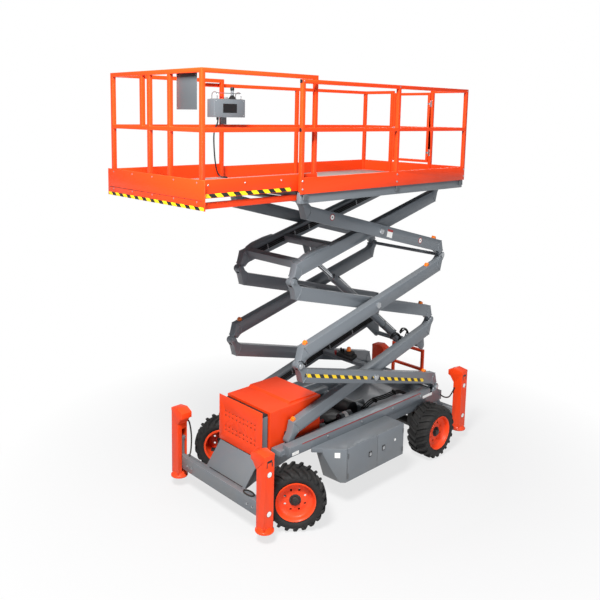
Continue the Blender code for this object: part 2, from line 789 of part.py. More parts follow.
def ladder():
    x = railBack - 0.028 - faceGap
    low, high, half = 0.66, 1.15, 0.26
    solids = []
    for side in (1, -1):
        solids.append(box((x - 0.018, x + 0.018), sorted((side * half, side * (half - 0.036))), (low, high)))
    for z in (0.87, high - 0.018):
        solids.append(box((x - 0.018, x + 0.018), (-half, half), (z - 0.018, z + 0.018)))
    solids.append(box((x - 0.01, x + 0.028), (-half, half), (low, low + 0.05)))
    part("rear_guard", "orange", solids)


def cabinet(name, side):
    # A side cabinet with a nose slanted in plan and cut away over the steered wheel, open behind its doors.
    inner = railOuter + faceGap
    back = cabinetFace - 0.02
    ys = sorted((side * inner, side * (back - faceGap)))
    shell = [box((cabinetBack, doorFront + 0.02), ys, (cabinetLow, cabinetTop))]
    face = [(0, cabinetLow), (0, cabinetTop), (0.04, cabinetLow), (0.11, 0.45), (0.15, 0.56)]
    face += [(0.18, 0.63), (0.18, cabinetTop)]
    nose = [(cabinetFront + a, side * (cabinetFace - a), b) for a, b in face]
    nose += [(doorFront + 0.003, side * a, b) for a in (cabinetFace, inner) for b in (cabinetLow, cabinetTop)]
    nose += [(cabinetFront + a, side * inner, b) for a, b in ((0.06, cabinetLow), (0.10, 0.46), (0.14, 0.56))]
    nose += [(cabinetFront + 0.18, side * inner, b) for b in (0.63, cabinetTop)]
    shell.append(hull(nose))
    lip = [(cabinetFront + 0.16, side * inner), (cabinetFront + 0.16, side * (cabinetFace - 0.165))]
    lip += [(cabinetFront + 0.262, side * (cabinetFace - 0.262)), (cabinetFront + 0.262, side * inner)]
    shell.append(prism(lip, "z", 0.645, cabinetTop))
    shell.append(box((cabinetBack + 0.05, 0.45), sorted((side * (railOuter - 0.011), side * (inner + 0.02))),
                     (0.585, 0.66)))
    well = sorted((side * (inner + 0.02), side * (back + 0.01)))
    cuts = []
    for x in ((cabinetBack + 0.015, doorSplit - 0.015), (doorSplit + 0.015, 0.60)):
        cuts.append(box(x, well, (cabinetLow + 0.015, cabinetTop - 0.015)))
    part("cabinet_" + name, "grey", shell, cuts)
    ys = sorted((side * back, side * cabinetFace))
    spans = {"rear": (cabinetBack, doorSplit - 0.003), "front": (doorSplit + 0.003, doorFront - 0.003)}
    hinges = {"rear": cabinetBack, "front": doorFront}
    for end, span in spans.items():
        door = box(span, ys, (cabinetLow, cabinetTop))
        part("door_%s_%s" % (end, name), "grey", [door], origin=(hinges[end], side * cabinetFace, 0.5))


def powerUnit():
    z = railTop - railDeep + 0.004 + faceGap
    solids = [rod((-0.05, -0.20, z + 0.10), (-0.05, 0.20, z + 0.10), 0.10, 20)]
    solids.append(box((-0.14, 0.04), (-0.16, 0.16), (z, z + 0.06)))
    solids.append(box((0.10, 0.45), (-0.24, 0.24), (z, z + 0.10)))
    solids.append(box((0.0, 0.14), (-0.10, 0.10), (z, z + 0.05)))
    part("power_unit", "dark", solids)


# Platform
def deck():
    beamIn, beamOut = deckHalf - 0.067, deckHalf - 0.017
    under = topZ + 0.009
    plate = floorZ - 0.012
    solids = [box((deckBack, deckFront), (-beamOut, beamOut), (plate, floorZ))]
    for side in (1, -1):
        y = sorted((side * beamIn, side * beamOut))
        solids.append(box((deckBack, deckFront + 0.02), y, (under, plate + 0.002)))
        y = sorted((side * (armOuterY - 0.05), side * (armOuterY + 0.05)))
        track = topZ + bossRadius + faceGap
        solids.append(box((-0.25, deckFront), y, (track, plate - 0.045)))
        y = sorted((side * (armInnerY - tongueHalf), side * (armInnerY + tongueHalf)))
        outline = [(baseX + 0.07, plate + 0.002), (baseX - 0.03, plate + 0.002)]
        outline += arc((baseX, topZ), bossRadius, 180, 360, 8)
        outline += [(baseX + 0.05, topZ + 0.03)]
        solids.append(prism(outline, "y", y[0], y[1]))
    for x in (deckFront - 0.06, 0.95, 0.35, -0.25, -0.85):
        solids.append(box((x - 0.025, x + 0.025), (-0.68, 0.68), (plate - 0.055, plate + 0.002)))
    cuts = [rod((baseX, -0.5, topZ), (baseX, 0.5, topZ), pinRadius + pinGap)]
    part("platform_deck", "grey", solids, cuts)


def platformRails():
    out = deckHalf
    top = floorZ + railHigh
    mid = floorZ + midHigh
    low = floorZ - 0.024
    solids = []
    for side in (1, -1):
        ys = sorted((side * out, side * (out - tube)))
        wall = sorted((side * out, side * (out - 0.0165)))
        solids.append(box((deckBack - 0.0165, deckFront + 0.03), wall, (low, floorZ + toeHigh)))
        for x in (deckFront + 0.03 - tube, 0.01, deckBack - 0.0165):
            solids.append(box((x, x + tube), ys, (floorZ + faceGap, top)))
        solids.append(box((deckBack - 0.0165, deckFront + 0.03), ys, (top - tube, top)))
        solids.append(box((deckBack - 0.0165, deckFront + 0.03), ys, (mid - tube / 2, mid + tube / 2)))
    xs = (deckBack - 0.0165, deckBack - faceGap)
    solids.append(box(xs, (-out, out), (low, floorZ + toeHigh)))
    xs = (deckBack - 0.0165, deckBack - 0.0165 + tube)
    near = (gateNear + moveGap, gateNear + moveGap + tube)
    far = (gateFar - moveGap - tube, gateFar - moveGap)
    for ys in (near, far):
        solids.append(box(xs, ys, (floorZ + faceGap, top)))
    for ys in ((near[0], out), (-out, far[1])):
        solids.append(box(xs, ys, (top - tube, top)))
        solids.append(box(xs, ys, (mid - tube / 2, mid + tube / 2)))
    for z in (floorZ + 0.24, floorZ + 0.86):
        solids.append(rod((gateHinge[0], gateHinge[1], z), (gateHinge[0], gateHinge[1], z + 0.09), 0.0066, 8))
        leaf = (gateHinge[0] - 0.0075, gateHinge[0] - 0.001)
        solids.append(box(leaf, (gateHinge[1] + 0.0033, near[1] - 0.005), (z + 0.002, z + 0.088)))
    part("platform_rails", "orange", solids)


def gate():
    top = floorZ + railHigh - 0.03
    low = floorZ + toeHigh + 0.02
    mid = floorZ + midHigh
    inner = deckBack - 0.0165 + tube
    xs = (inner - 0.034, inner)
    solids = []
    for y in (gateNear - 0.034, gateFar):
        solids.append(box(xs, (y, y + 0.034), (low, top)))
    for z in (low, mid - 0.017, top - 0.034):
        solids.append(box(xs, (gateFar, gateNear), (z, z + 0.034)))
    part("gate", "orange", solids, origin=(gateHinge[0], gateHinge[1], mid))


def extension():
    front = deckFront + extensionOut
    back = extensionBack
    out = deckHalf - tube - moveGap
    floor = floorZ + 0.008
    top = floorZ + railHigh + 0.047
    mid = floorZ + midHigh
    solids = [box((back, front), (-out, out), (floor, floor + 0.012))]
    for side in (1, -1):
        ys = sorted((side * out, side * (out - plateThick)))
        solids.append(box((back, front), ys, (floor, floorZ + extensionToe)))
        skid = deckHalf - skidInset
        pad = sorted((side * (skid - skidWidth), side * skid))
        solids.append(box((back, back + skidLength), pad, (floorZ + faceGap, floor + 0.002)))
        slide = deckHalf - slideInset
        ys = sorted((side * (slide - slideWidth), side * slide))
        solids.append(box((slideBack, front - plateThick / 2), ys, (floorZ - slideLow, floorZ - slideTop)))
    solids.append(box((front - plateThick, front), (-deckHalf, deckHalf),
                      (floorZ - slideLow - 0.004, floorZ + extensionToe)))
    part("extension_deck", "orange", solids)
    solids = []
    seat = floor + 0.012 + faceGap
    inner = out - plateThick - faceGap
    face = front - plateThick - faceGap
    for side in (1, -1):
        ys = sorted((side * inner, side * (inner - tube)))
        for x in (face - tube, back):
            solids.append(box((x, x + tube), ys, (seat, top)))
        solids.append(box((back, face), ys, (mid - tube / 2, mid + tube / 2)))
        solids.append(box((back, face), ys, (top - tube, top)))
    xs = (face - tube, face)
    for z in (top - tube, mid - tube / 2):
        solids.append(box(xs, (-inner, inner), (z, z + tube)))
    for y, low in ((-0.20, mid), (-0.075, seat), (0.258, seat)):
        solids.append(box(xs, (y - tube / 2, y + tube / 2), (low, top)))
    part("extension_rails", "orange", solids)
    wall = -inner + tube
    low, high = floorZ + consoleLow, floorZ + consoleTop
    case = box((consoleX, consoleX + consoleLong), (wall + faceGap, wall + consoleDeep), (low, high))
    stick = (consoleX + 0.14, wall + consoleDeep - 0.06)
    grip = rod((stick[0], stick[1], high - 0.02), (stick[0], stick[1], high + 0.10), 0.018, 10)
    hook = box((consoleX + 0.18, consoleX + 0.26), (wall + faceGap, wall + 0.02), (low - 0.08, low + 0.04))
    part("control_box", "grey", [case, grip, hook])
    xs = (face - tube - 0.006, face - tube - faceGap)
    edge = deckHalf - plateInset
    part("document_plate", "grey", [box(xs, (edge - plateWide, edge), (floorZ + plateLow, floorZ + plateTop))])


def main():
    clearScene()
    frontWheels()
    rearWheels()
    axles()
    scissorArms()
    liftCylinder()
    chassisFrame()
    beams()
    outriggers()
    hoodAndFront()
    ladder()
    cabinet("left", 1)
    cabinet("right", -1)
    powerUnit()
    deck()
    platformRails()
    gate()
    extension()


main()
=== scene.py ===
import json
import math
from itertools import product
import bmesh
import bpy
import numpy as np
from mathutils import Matrix, Vector

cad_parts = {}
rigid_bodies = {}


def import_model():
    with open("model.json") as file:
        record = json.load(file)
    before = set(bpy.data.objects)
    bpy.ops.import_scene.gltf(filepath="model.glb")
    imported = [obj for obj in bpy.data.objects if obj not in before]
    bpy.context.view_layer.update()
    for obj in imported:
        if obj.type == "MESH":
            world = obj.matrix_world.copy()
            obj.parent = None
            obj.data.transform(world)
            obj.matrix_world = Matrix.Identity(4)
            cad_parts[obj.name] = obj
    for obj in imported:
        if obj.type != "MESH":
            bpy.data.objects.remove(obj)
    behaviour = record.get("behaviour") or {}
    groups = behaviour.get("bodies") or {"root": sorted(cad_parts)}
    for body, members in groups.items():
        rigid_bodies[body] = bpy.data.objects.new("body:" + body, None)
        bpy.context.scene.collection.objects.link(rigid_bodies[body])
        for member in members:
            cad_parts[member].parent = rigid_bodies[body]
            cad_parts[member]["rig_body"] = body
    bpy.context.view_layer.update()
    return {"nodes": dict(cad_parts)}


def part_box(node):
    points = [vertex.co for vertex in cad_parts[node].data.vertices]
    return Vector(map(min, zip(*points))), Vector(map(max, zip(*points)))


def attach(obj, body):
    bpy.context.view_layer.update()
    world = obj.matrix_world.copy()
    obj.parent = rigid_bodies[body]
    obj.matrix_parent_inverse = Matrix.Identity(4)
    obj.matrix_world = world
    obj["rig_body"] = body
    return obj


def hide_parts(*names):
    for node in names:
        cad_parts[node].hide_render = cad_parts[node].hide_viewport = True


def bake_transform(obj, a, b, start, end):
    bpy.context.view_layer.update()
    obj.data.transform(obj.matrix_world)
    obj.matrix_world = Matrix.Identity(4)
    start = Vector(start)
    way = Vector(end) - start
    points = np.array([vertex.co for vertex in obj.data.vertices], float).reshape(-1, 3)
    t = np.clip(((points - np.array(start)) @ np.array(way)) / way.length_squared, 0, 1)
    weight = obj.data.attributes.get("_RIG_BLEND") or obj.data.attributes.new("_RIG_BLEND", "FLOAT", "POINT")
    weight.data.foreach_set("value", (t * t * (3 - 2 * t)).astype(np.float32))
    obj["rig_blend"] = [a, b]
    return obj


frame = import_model()
print("stage: frame loaded")

# Places and sizes taken over from the CAD model, in metres
lift = {"baseX": -1.2616, "baseZ": 0.7825, "rise": 0.8740, "run": 2.5240, "pins": 2.671, "pitch": 0.212,
        "tilt": math.radians(19.1), "outerY": 0.55, "innerY": 0.43, "tall": 0.145, "wide": 0.09,
        "base": (-1.20, 1.29), "eye": (0.50, 2.61)}
deck = {"front": 1.50, "back": -1.30, "half": 0.812, "out": 1.19, "tube": 0.04,
        "rail": 1.076, "mid": 0.597}
wheels = {"radius": 0.33, "half": 0.145, "rearY": 0.744, "frontY": 0.765, "rearX": -0.958,
          "frontX": 1.36, "pinY": 0.61, "left": -38.0, "right": -45.0}
legs = {"front_left": (1.875, 0.738), "front_right": (1.875, -0.738),
        "rear_left": (-1.66, 0.70), "rear_right": (-1.66, -0.70)}
arms = {"arm_outer_1": (1, 1, 0.55), "arm_inner_1": (1, -1, 0.43), "arm_outer_2": (2, -1, 0.55),
        "arm_inner_2": (2, 1, 0.43), "arm_outer_3": (3, 1, 0.55), "arm_inner_3": (3, -1, 0.43)}
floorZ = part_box("platform_deck")[1].z
midX = lift["baseX"] + lift["run"] / 2
foldTilt = math.asin(lift["pitch"] / lift["pins"])
armTilt = lift["tilt"] - foldTilt
reach = lift["pins"] / 2 * math.cos(foldTilt)
drop = lift["pitch"] / 2
# Trim stands off the face that it sits on by one of these
gap, thinGap = 0.0003, 0.0002


def bodyOf(node):
    return frame["nodes"][node]["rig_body"]


def armFrame(node):
    # An arm's own axes: x along its tube, y across, z up from the tube, origin on the centre pin.
    level, rising = arms[node][:2]
    place = Matrix.Translation((midX, 0, lift["baseZ"] + lift["rise"] * (level - 0.5)))
    if rising < 0:
        place = place @ Matrix.Rotation(math.pi, 4, "Z")
    return place @ Matrix.Rotation(-armTilt, 4, "Y")


def srgb(red, green, blue):
    # linear = ((c + 0.055) / 1.055) ^ 2.4 for the upper part of the curve, c / 12.92 below it
    steps = [c / 255 for c in (red, green, blue)]
    return [((c + 0.055) / 1.055) ** 2.4 if c > 0.04045 else c / 12.92 for c in steps] + [1.0]


# Shaders
def noise(tree, vector, scale, detail, rough=0.5):
    node = tree.nodes.new("ShaderNodeTexNoise")
    node.inputs["Scale"].default_value = scale
    node.inputs["Detail"].default_value = detail
    node.inputs["Roughness"].default_value = rough
    tree.links.new(vector, node.inputs["Vector"])
    return node.outputs["Fac"]


def ramp(tree, value, low, high, lowOut=0.0, highOut=1.0):
    node = tree.nodes.new("ShaderNodeMapRange")
    for label, number in (("From Min", low), ("From Max", high), ("To Min", lowOut), ("To Max", highOut)):
        node.inputs[label].default_value = number
    tree.links.new(value, node.inputs["Value"])
    return node.outputs["Result"]


def maths(tree, kind, first, second=None):
    node = tree.nodes.new("ShaderNodeMath")
    node.operation = kind
    for i, value in enumerate((first, second)):
        if value is None:
            continue
        if isinstance(value, (int, float)):
            node.inputs[i].default_value = value
        else:
            tree.links.new(value, node.inputs[i])
    return node.outputs[0]


def mixColour(tree, factor, first, second):
    node = tree.nodes.new("ShaderNodeMix")
    node.data_type = "RGBA"
    for i, value in ((0, factor), (6, first), (7, second)):
        if isinstance(value, (int, float, list, tuple)):
            node.inputs[i].default_value = value
        else:
            tree.links.new(value, node.inputs[i])
    return node.outputs[2]


def ownPlace(tree):
    return tree.nodes.new("ShaderNodeTexCoord").outputs["Object"]


def relief(tree, shader, height, strength, distance):
    node = tree.nodes.new("ShaderNodeBump")
    node.inputs["Strength"].default_value = strength
    node.inputs["Distance"].default_value = distance
    tree.links.new(height, node.inputs["Height"])
    tree.links.new(node.outputs[0], shader.inputs["Normal"])


def wearGroup():
    # Edge mask = 1 - dot(rounded normal, flat normal), broken up by noise.
    # Dust settles low down and on top faces.
    group = bpy.data.node_groups.new("wearAndDust", "ShaderNodeTree")
    group.interface.new_socket("Dust", in_out="INPUT", socket_type="NodeSocketFloat").default_value = 0.5
    for label in ("Edge", "Dust", "Grain", "Cloud"):
        group.interface.new_socket(label, in_out="OUTPUT", socket_type="NodeSocketFloat")
    start, end = group.nodes.new("NodeGroupInput"), group.nodes.new("NodeGroupOutput")
    coord = ownPlace(group)
    geometry = group.nodes.new("ShaderNodeNewGeometry")
    bevel = group.nodes.new("ShaderNodeBevel")
    bevel.samples = 4
    bevel.inputs["Radius"].default_value = 0.008
    dot = group.nodes.new("ShaderNodeVectorMath")
    dot.operation = "DOT_PRODUCT"
    group.links.new(bevel.outputs[0], dot.inputs[0])
    group.links.new(geometry.outputs["Normal"], dot.inputs[1])
    away = maths(group, "SUBTRACT", 1.0, dot.outputs["Value"])
    broken = ramp(group, noise(group, coord, 22.0, 5.0, 0.65), 0.35, 0.7)
    edge = maths(group, "MULTIPLY", ramp(group, away, 0.02, 0.16), broken)
    split = group.nodes.new("ShaderNodeSeparateXYZ")
    group.links.new(coord, split.inputs[0])
    facing = group.nodes.new("ShaderNodeSeparateXYZ")
    group.links.new(geometry.outputs["Normal"], facing.inputs[0])
    cloud = noise(group, coord, 2.6, 6.0, 0.6)
    low = ramp(group, split.outputs["Z"], 0.7, 0.05)
    top = ramp(group, facing.outputs["Z"], 0.5, 1.0, 0.0, 0.35)
    both = maths(group, "MAXIMUM", low, top)
    dust = maths(group, "MULTIPLY", both, ramp(group, cloud, 0.35, 0.75))
    dust = maths(group, "MULTIPLY", dust, start.outputs["Dust"])
    group.links.new(edge, end.inputs["Edge"])
    group.links.new(dust, end.inputs["Dust"])
    group.links.new(noise(group, coord, 160.0, 3.0), end.inputs["Grain"])
    group.links.new(cloud, end.inputs["Cloud"])
    return group


wear = wearGroup()
dustColour = srgb(150, 138, 120)


def plainMaterial(name, roughness=0.5, metallic=0.0, coat=0.0):
    material = bpy.data.materials.new(name)
    material.use_nodes = True
    shader = material.node_tree.nodes["Principled BSDF"]
    shader.inputs["Roughness"].default_value = roughness
    shader.inputs["Metallic"].default_value = metallic
    shader.inputs["Coat Weight"].default_value = coat
    shader.inputs["Coat Roughness"].default_value = 0.12
    return material, material.node_tree, shader


def painted(name, colour, worn, roughness=0.38, dust=0.5, coat=0.25, bump=0.05, metallic=0.0, edge=0.5,
            shine=0.4):
    colour, worn = srgb(*colour), srgb(*worn)
    material, tree, shader = plainMaterial(name, roughness, metallic, coat)
    shader.inputs["Specular IOR Level"].default_value = shine
    group = tree.nodes.new("ShaderNodeGroup")
    group.node_tree = wear
    group.inputs["Dust"].default_value = dust
    shade = mixColour(tree, ramp(tree, group.outputs["Cloud"], 0.3, 0.7, 0.0, 0.10), colour,
                      [c * 0.72 for c in colour[:3]] + [1.0])
    shade = mixColour(tree, maths(tree, "MULTIPLY", group.outputs["Edge"], edge), shade, worn)
    shade = mixColour(tree, group.outputs["Dust"], shade, dustColour)
    tree.links.new(shade, shader.inputs["Base Color"])
    clouded = ramp(tree, group.outputs["Cloud"], 0.3, 0.7, roughness - 0.06, roughness + 0.08)
    dusted = maths(tree, "MULTIPLY", group.outputs["Dust"], 0.3)
    tree.links.new(maths(tree, "ADD", clouded, dusted), shader.inputs["Roughness"])
    relief(tree, shader, group.outputs["Grain"], bump, 0.002)
    return material


orange = painted("orangePaint", (238, 66, 20), (246, 128, 78), 0.42, 0.18, 0.08, shine=0.22)
grey = painted("greyPaint", (104, 110, 116), (178, 182, 186), 0.42, 0.35)
darkGrey = painted("darkGreyPaint", (76, 80, 84), (120, 122, 126), 0.45, 0.4)
black = painted("blackPaint", (15, 15, 17), (80, 80, 82), 0.5, 0.18, 0.1)
steel = painted("bareSteel", (176, 179, 182), (230, 230, 230), 0.30, 0.2, 0.0, 0.03, 0.9)
chrome = painted("hardChrome", (206, 209, 212), (240, 240, 240), 0.12, 0.05, 0.0, 0.0, 1.0)
hoseRubber = painted("hoseRubber", (20, 20, 22), (60, 60, 62), 0.62, 0.4, 0.0, 0.3)
plastic = painted("blackPlastic", (18, 18, 20), (70, 70, 72), 0.5, 0.15, 0.0, 0.2)
whiteVinyl = painted("whiteVinyl", (238, 238, 236), (220, 220, 220), 0.4, 0.2, 0.0, 0.02)
redPaint = painted("redPaint", (150, 24, 26), (200, 90, 90), 0.4, 0.3)
amber = painted("amberPlastic", (246, 122, 30), (250, 170, 90), 0.3, 0.1)


def tyreRubber():
    # Dark rubber with paler, dry clouds and a fine grain.
    material, tree, shader = plainMaterial("tyreRubber", 0.78)
    coord = ownPlace(tree)
    cloud = noise(tree, coord, 9.0, 6.0, 0.65)
    fine = noise(tree, coord, 120.0, 4.0, 0.6)
    shade = mixColour(tree, ramp(tree, cloud, 0.35, 0.75, 0.0, 0.55), srgb(15, 15, 16), srgb(44, 42, 40))
    tree.links.new(shade, shader.inputs["Base Color"])
    relief(tree, shader, fine, 0.35, 0.003)
    return material


def hazardTape():
    # Slanted bars: the fraction of (along + across) on the piece's own UV picks black or yellow.
    material, tree, shader = plainMaterial("hazardTape", 0.42)
    uv = tree.nodes.new("ShaderNodeUVMap")
    split = tree.nodes.new("ShaderNodeSeparateXYZ")
    tree.links.new(uv.outputs[0], split.inputs[0])
    along = maths(tree, "ADD", split.outputs["X"], split.outputs["Y"])
    wave = maths(tree, "FRACT", along)
    bar = maths(tree, "GREATER_THAN", wave, 0.5)
    coord = ownPlace(tree)
    scuff = ramp(tree, noise(tree, coord, 30.0, 5.0), 0.5, 0.8, 0.0, 0.3)
    shade = mixColour(tree, bar, srgb(8, 8, 8), srgb(248, 206, 10))
    shade = mixColour(tree, scuff, shade, srgb(96, 90, 76))
    tree.links.new(shade, shader.inputs["Base Color"])
    return material


def treadPlate():
    # Grey anti-slip floor: a fine grit in the relief and pale clouds in the colour.
    material, tree, shader = plainMaterial("treadPlate", 0.6, 0.2)
    coord = ownPlace(tree)
    grit = tree.nodes.new("ShaderNodeTexVoronoi")
    grit.inputs["Scale"].default_value = 60.0
    tree.links.new(coord, grit.inputs["Vector"])
    cloud = noise(tree, coord, 3.0, 6.0)
    shade = mixColour(tree, ramp(tree, cloud, 0.3, 0.7), srgb(150, 150, 148), srgb(176, 172, 166))
    tree.links.new(shade, shader.inputs["Base Color"])
    relief(tree, shader, grit.outputs["Distance"], 0.5, 0.004)
    return material


rubber = tyreRubber()
hazard = hazardTape()
tread = treadPlate()
print("stage: materials")


# Mesh makers: each returns (points, faces)
def span(middle, half):
    return middle - half, middle + half


def block(x, y, z, edge=0.003):
    # A box with every edge cut at 45 degrees: each corner gives three points, one on each face.
    ends = sorted(x), sorted(y), sorted(z)
    edge = min(edge, 0.45 * min(high - low for low, high in ends))
    points, index, faces = [], {}, []
    corners = list(product((0, 1), repeat=3))
    for corner in corners:
        for face in range(3):
            index[corner, face] = len(points)
            points.append([ends[axis][side] + (edge * (1 - 2 * side) if axis != face else 0)
                           for axis, side in enumerate(corner)])

    def point(face, *sides):
        # The point for this face at the corner that the (axis, side) pairs name.
        side = dict(sides)
        return index[(side[0], side[1], side[2]), face]

    for face in range(3):
        a, b = [n for n in range(3) if n != face]
        for side in (0, 1):
            loop = [point(face, (face, side), (a, u), (b, v)) for u, v in ((0, 0), (1, 0), (1, 1), (0, 1))]
            faces.append(loop if (side == 1) == (face != 1) else loop[::-1])
        for u, v in product((0, 1), repeat=2):
            faces.append([point(first, (face, side), (a, u), (b, v))
                          for side, first in ((0, a), (0, b), (1, b), (1, a))])
    faces += [[index[corner, face] for face in range(3)] for corner in corners]
    return np.array(points, float), faces


def turned(profile, sides=48):
    # Points (radius, height) swept round the Z axis; a radius of 0 closes to one point.
    profile = np.array(profile, float)
    angle = np.linspace(0, 2 * math.pi, sides, endpoint=False)
    points, rings, faces = [], [], []
    for radius, height in profile:
        first = len(points)
        if radius < 1e-6:
            points.append([0, 0, height])
            rings.append([first] * sides)
        else:
            points += [[radius * math.cos(a), radius * math.sin(a), height] for a in angle]
            rings.append(list(range(first, first + sides)))
    for low, high in zip(rings, rings[1:]):
        for i in range(sides):
            j = (i + 1) % sides
            loop = [low[i], low[j], high[j], high[i]]
            face = [p for n, p in enumerate(loop) if p != loop[n - 1]]
            if len(face) > 2:
                faces.append(face)
    if rings[0][0] != rings[0][-1]:
        faces.append(rings[0][::-1])
    if rings[-1][0] != rings[-1][-1]:
        faces.append(rings[-1])
    return np.array(points, float), faces


def aimed(shape, start, towards):
    # Turns a shape's own Z axis to point at towards and puts its origin at start.
    ahead = Vector(towards).normalized()
    turn = ahead.to_track_quat("Z", "Y").to_matrix().to_4x4()
    return moved(shape, Matrix.Translation(start) @ turn)


def moved(shape, matrix):
    points, faces = shape
    m = np.array(matrix, float)
    return points @ m[:3, :3].T + m[:3, 3], faces


def rod(start, end, radius, sides=20, edge=0.0015):
    start, end = Vector(start), Vector(end)
    length = (end - start).length
    edge = min(edge, radius * 0.4, length * 0.4)
    profile = [(0, 0), (radius - edge, 0), (radius, edge), (radius, length - edge), (radius - edge, length),
               (0, length)]
    return aimed(turned(profile, sides), start, end - start)


def bolt(place, towards, size=0.012):
    # Washer, hexagon head and a low dome, for a head of this radius.
    washer = turned([(0, 0), (size * 1.35, 0), (size * 1.35, size * 0.22), (0, size * 0.22)], 18)
    head = turned([(0, size * 0.2), (size, size * 0.2), (size, size * 0.75), (size * 0.82, size * 0.92),
                   (0, size * 0.95)], 6)
    return [aimed(washer, place, towards), aimed(head, place, towards)]


def smoothPath(points, steps=8):
    # Catmull-Rom curve through the points.
    points = [Vector(p) for p in points]
    ends = [points[0] * 2 - points[1]] + points + [points[-1] * 2 - points[-2]]
    path = []
    for i in range(1, len(ends) - 2):
        a, b, c, d = ends[i - 1:i + 3]
        for n in range(steps):
            t = n / steps
            path.append(0.5 * ((2 * b) + (c - a) * t + (2 * a - 5 * b + 4 * c - d) * t * t
                               + (3 * b - a - 3 * c + d) * t ** 3))
    return path + [points[-1]]


def pipe(points, radius, sides=10, steps=8):
    # A round tube along a smooth path; the ring is carried along by turning it with the path.
    path = smoothPath(points, steps) if steps > 1 else [Vector(p) for p in points]
    rings = []
    ahead = (path[1] - path[0]).normalized()
    across = ahead.orthogonal().normalized()
    for i, point in enumerate(path):
        near = path[min(i + 1, len(path) - 1)] - path[max(i - 1, 0)]
        turn = ahead.rotation_difference(near.normalized())
        ahead = near.normalized()
        across = (turn @ across).normalized()
        up = ahead.cross(across)
        rings.append([point + radius * (across * math.cos(a) + up * math.sin(a))
                      for a in np.linspace(0, 2 * math.pi, sides, endpoint=False)])
    allPoints = [tuple(p) for ring in rings for p in ring]
    faces = []
    for n in range(len(rings) - 1):
        for i in range(sides):
            j = (i + 1) % sides
            faces.append([n * sides + i, n * sides + j, (n + 1) * sides + j, (n + 1) * sides + i])
    faces.append(list(range(sides))[::-1])
    faces.append([(len(rings) - 1) * sides + i for i in range(sides)])
    return np.array(allPoints, float), faces


def prism(outline, axis, low, high):
    # A flat outline given in the other two axes, in order, and pushed along axis.
    keep = {"x": (1, 2), "y": (0, 2), "z": (0, 1)}[axis]
    across = "xyz".index(axis)
    count = len(outline)
    points = np.zeros((2 * count, 3))
    for n, level in enumerate((low, high)):
        points[n * count:(n + 1) * count, across] = level
        for i, (a, b) in enumerate(outline):
            points[n * count + i, keep[0]] = a
            points[n * count + i, keep[1]] = b
    area = sum(a[0] * b[1] - b[0] * a[1] for a, b in zip(outline, outline[1:] + outline[:1]))
    faces = [list(range(count))[::-1], list(range(count, 2 * count))]
    for i in range(count):
        j = (i + 1) % count
        faces.append([i, j, count + j, count + i])
    if (area > 0) == (axis == "y"):
        faces = [f[::-1] for f in faces]
    return points, faces


def joined(name, shapes):
    points, faces, offset = [], [], 0
    for shapePoints, shapeFaces in shapes:
        points.append(shapePoints)
        faces += [[offset + i for i in face] for face in shapeFaces]
        offset += len(shapePoints)
    mesh = bpy.data.meshes.new(name)
    mesh.from_pydata(np.concatenate(points).tolist(), [], faces)
    item = bpy.data.objects.new(name, mesh)
    bpy.context.scene.collection.objects.link(item)
    return item, mesh


def build(name, shapes, material, body, edge=0.0, segments=2, angle=40):
    item, mesh = joined(name, shapes)
    mesh.validate()
    mesh.materials.append(material)
    if edge:
        roundEdges(mesh, edge, segments, angle)
    shadeSmooth(mesh, angle)
    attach(item, body)
    return item


def shadeSmooth(mesh, angle=40):
    mesh.polygons.foreach_set("use_smooth", [True] * len(mesh.polygons))
    mesh.set_sharp_from_angle(angle=math.radians(angle))
    mesh.update()


def roundEdges(mesh, width, segments, angle, shortest=0.0):
    # Joins doubled points and flat faces, then bevels the edges that turn by more than the angle.
    work = bmesh.new()
    work.from_mesh(mesh)
    bmesh.ops.remove_doubles(work, verts=work.verts, dist=2e-5)
    if width:
        bmesh.ops.dissolve_limit(work, angle_limit=math.radians(0.6), verts=work.verts, edges=work.edges)
        limit = math.radians(angle)
        sharp = [e for e in work.edges if len(e.link_faces) == 2 and e.calc_face_angle(0) > limit
                 and e.calc_length() > shortest]
        bmesh.ops.bevel(work, geom=sharp, offset=width, offset_type="OFFSET", segments=segments,
                        profile=0.5, affect="EDGES", clamp_overlap=False)
    work.to_mesh(mesh)
    work.free()


# Every CAD node shows as a copy with its edges rounded and its paint on
def dress(node, material, edge, floor=None):
    source = frame["nodes"][node]
    mesh = source.data.copy()
    for extra in [a for a in mesh.attributes if a.name == "custom_normal"]:
        mesh.attributes.remove(extra)
    mesh.materials.clear()
    mesh.materials.append(material)
    item = bpy.data.objects.new(node + "_finished", mesh)
    bpy.context.scene.collection.objects.link(item)
    roundEdges(mesh, edge, 2, 50, 3 * edge)
    mesh.polygons.foreach_set("material_index", [0] * len(mesh.polygons))
    if floor:
        # The walked-on faces, level and at the floor's height, get the tread plate.
        mesh.materials.append(tread)
        for face in mesh.polygons:
            if face.normal.z > 0.98 and abs(face.center.z - floor) < 0.003:
                face.material_index = 1
    shadeSmooth(mesh, 30)
    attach(item, source["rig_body"])
    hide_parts(node)
    return item


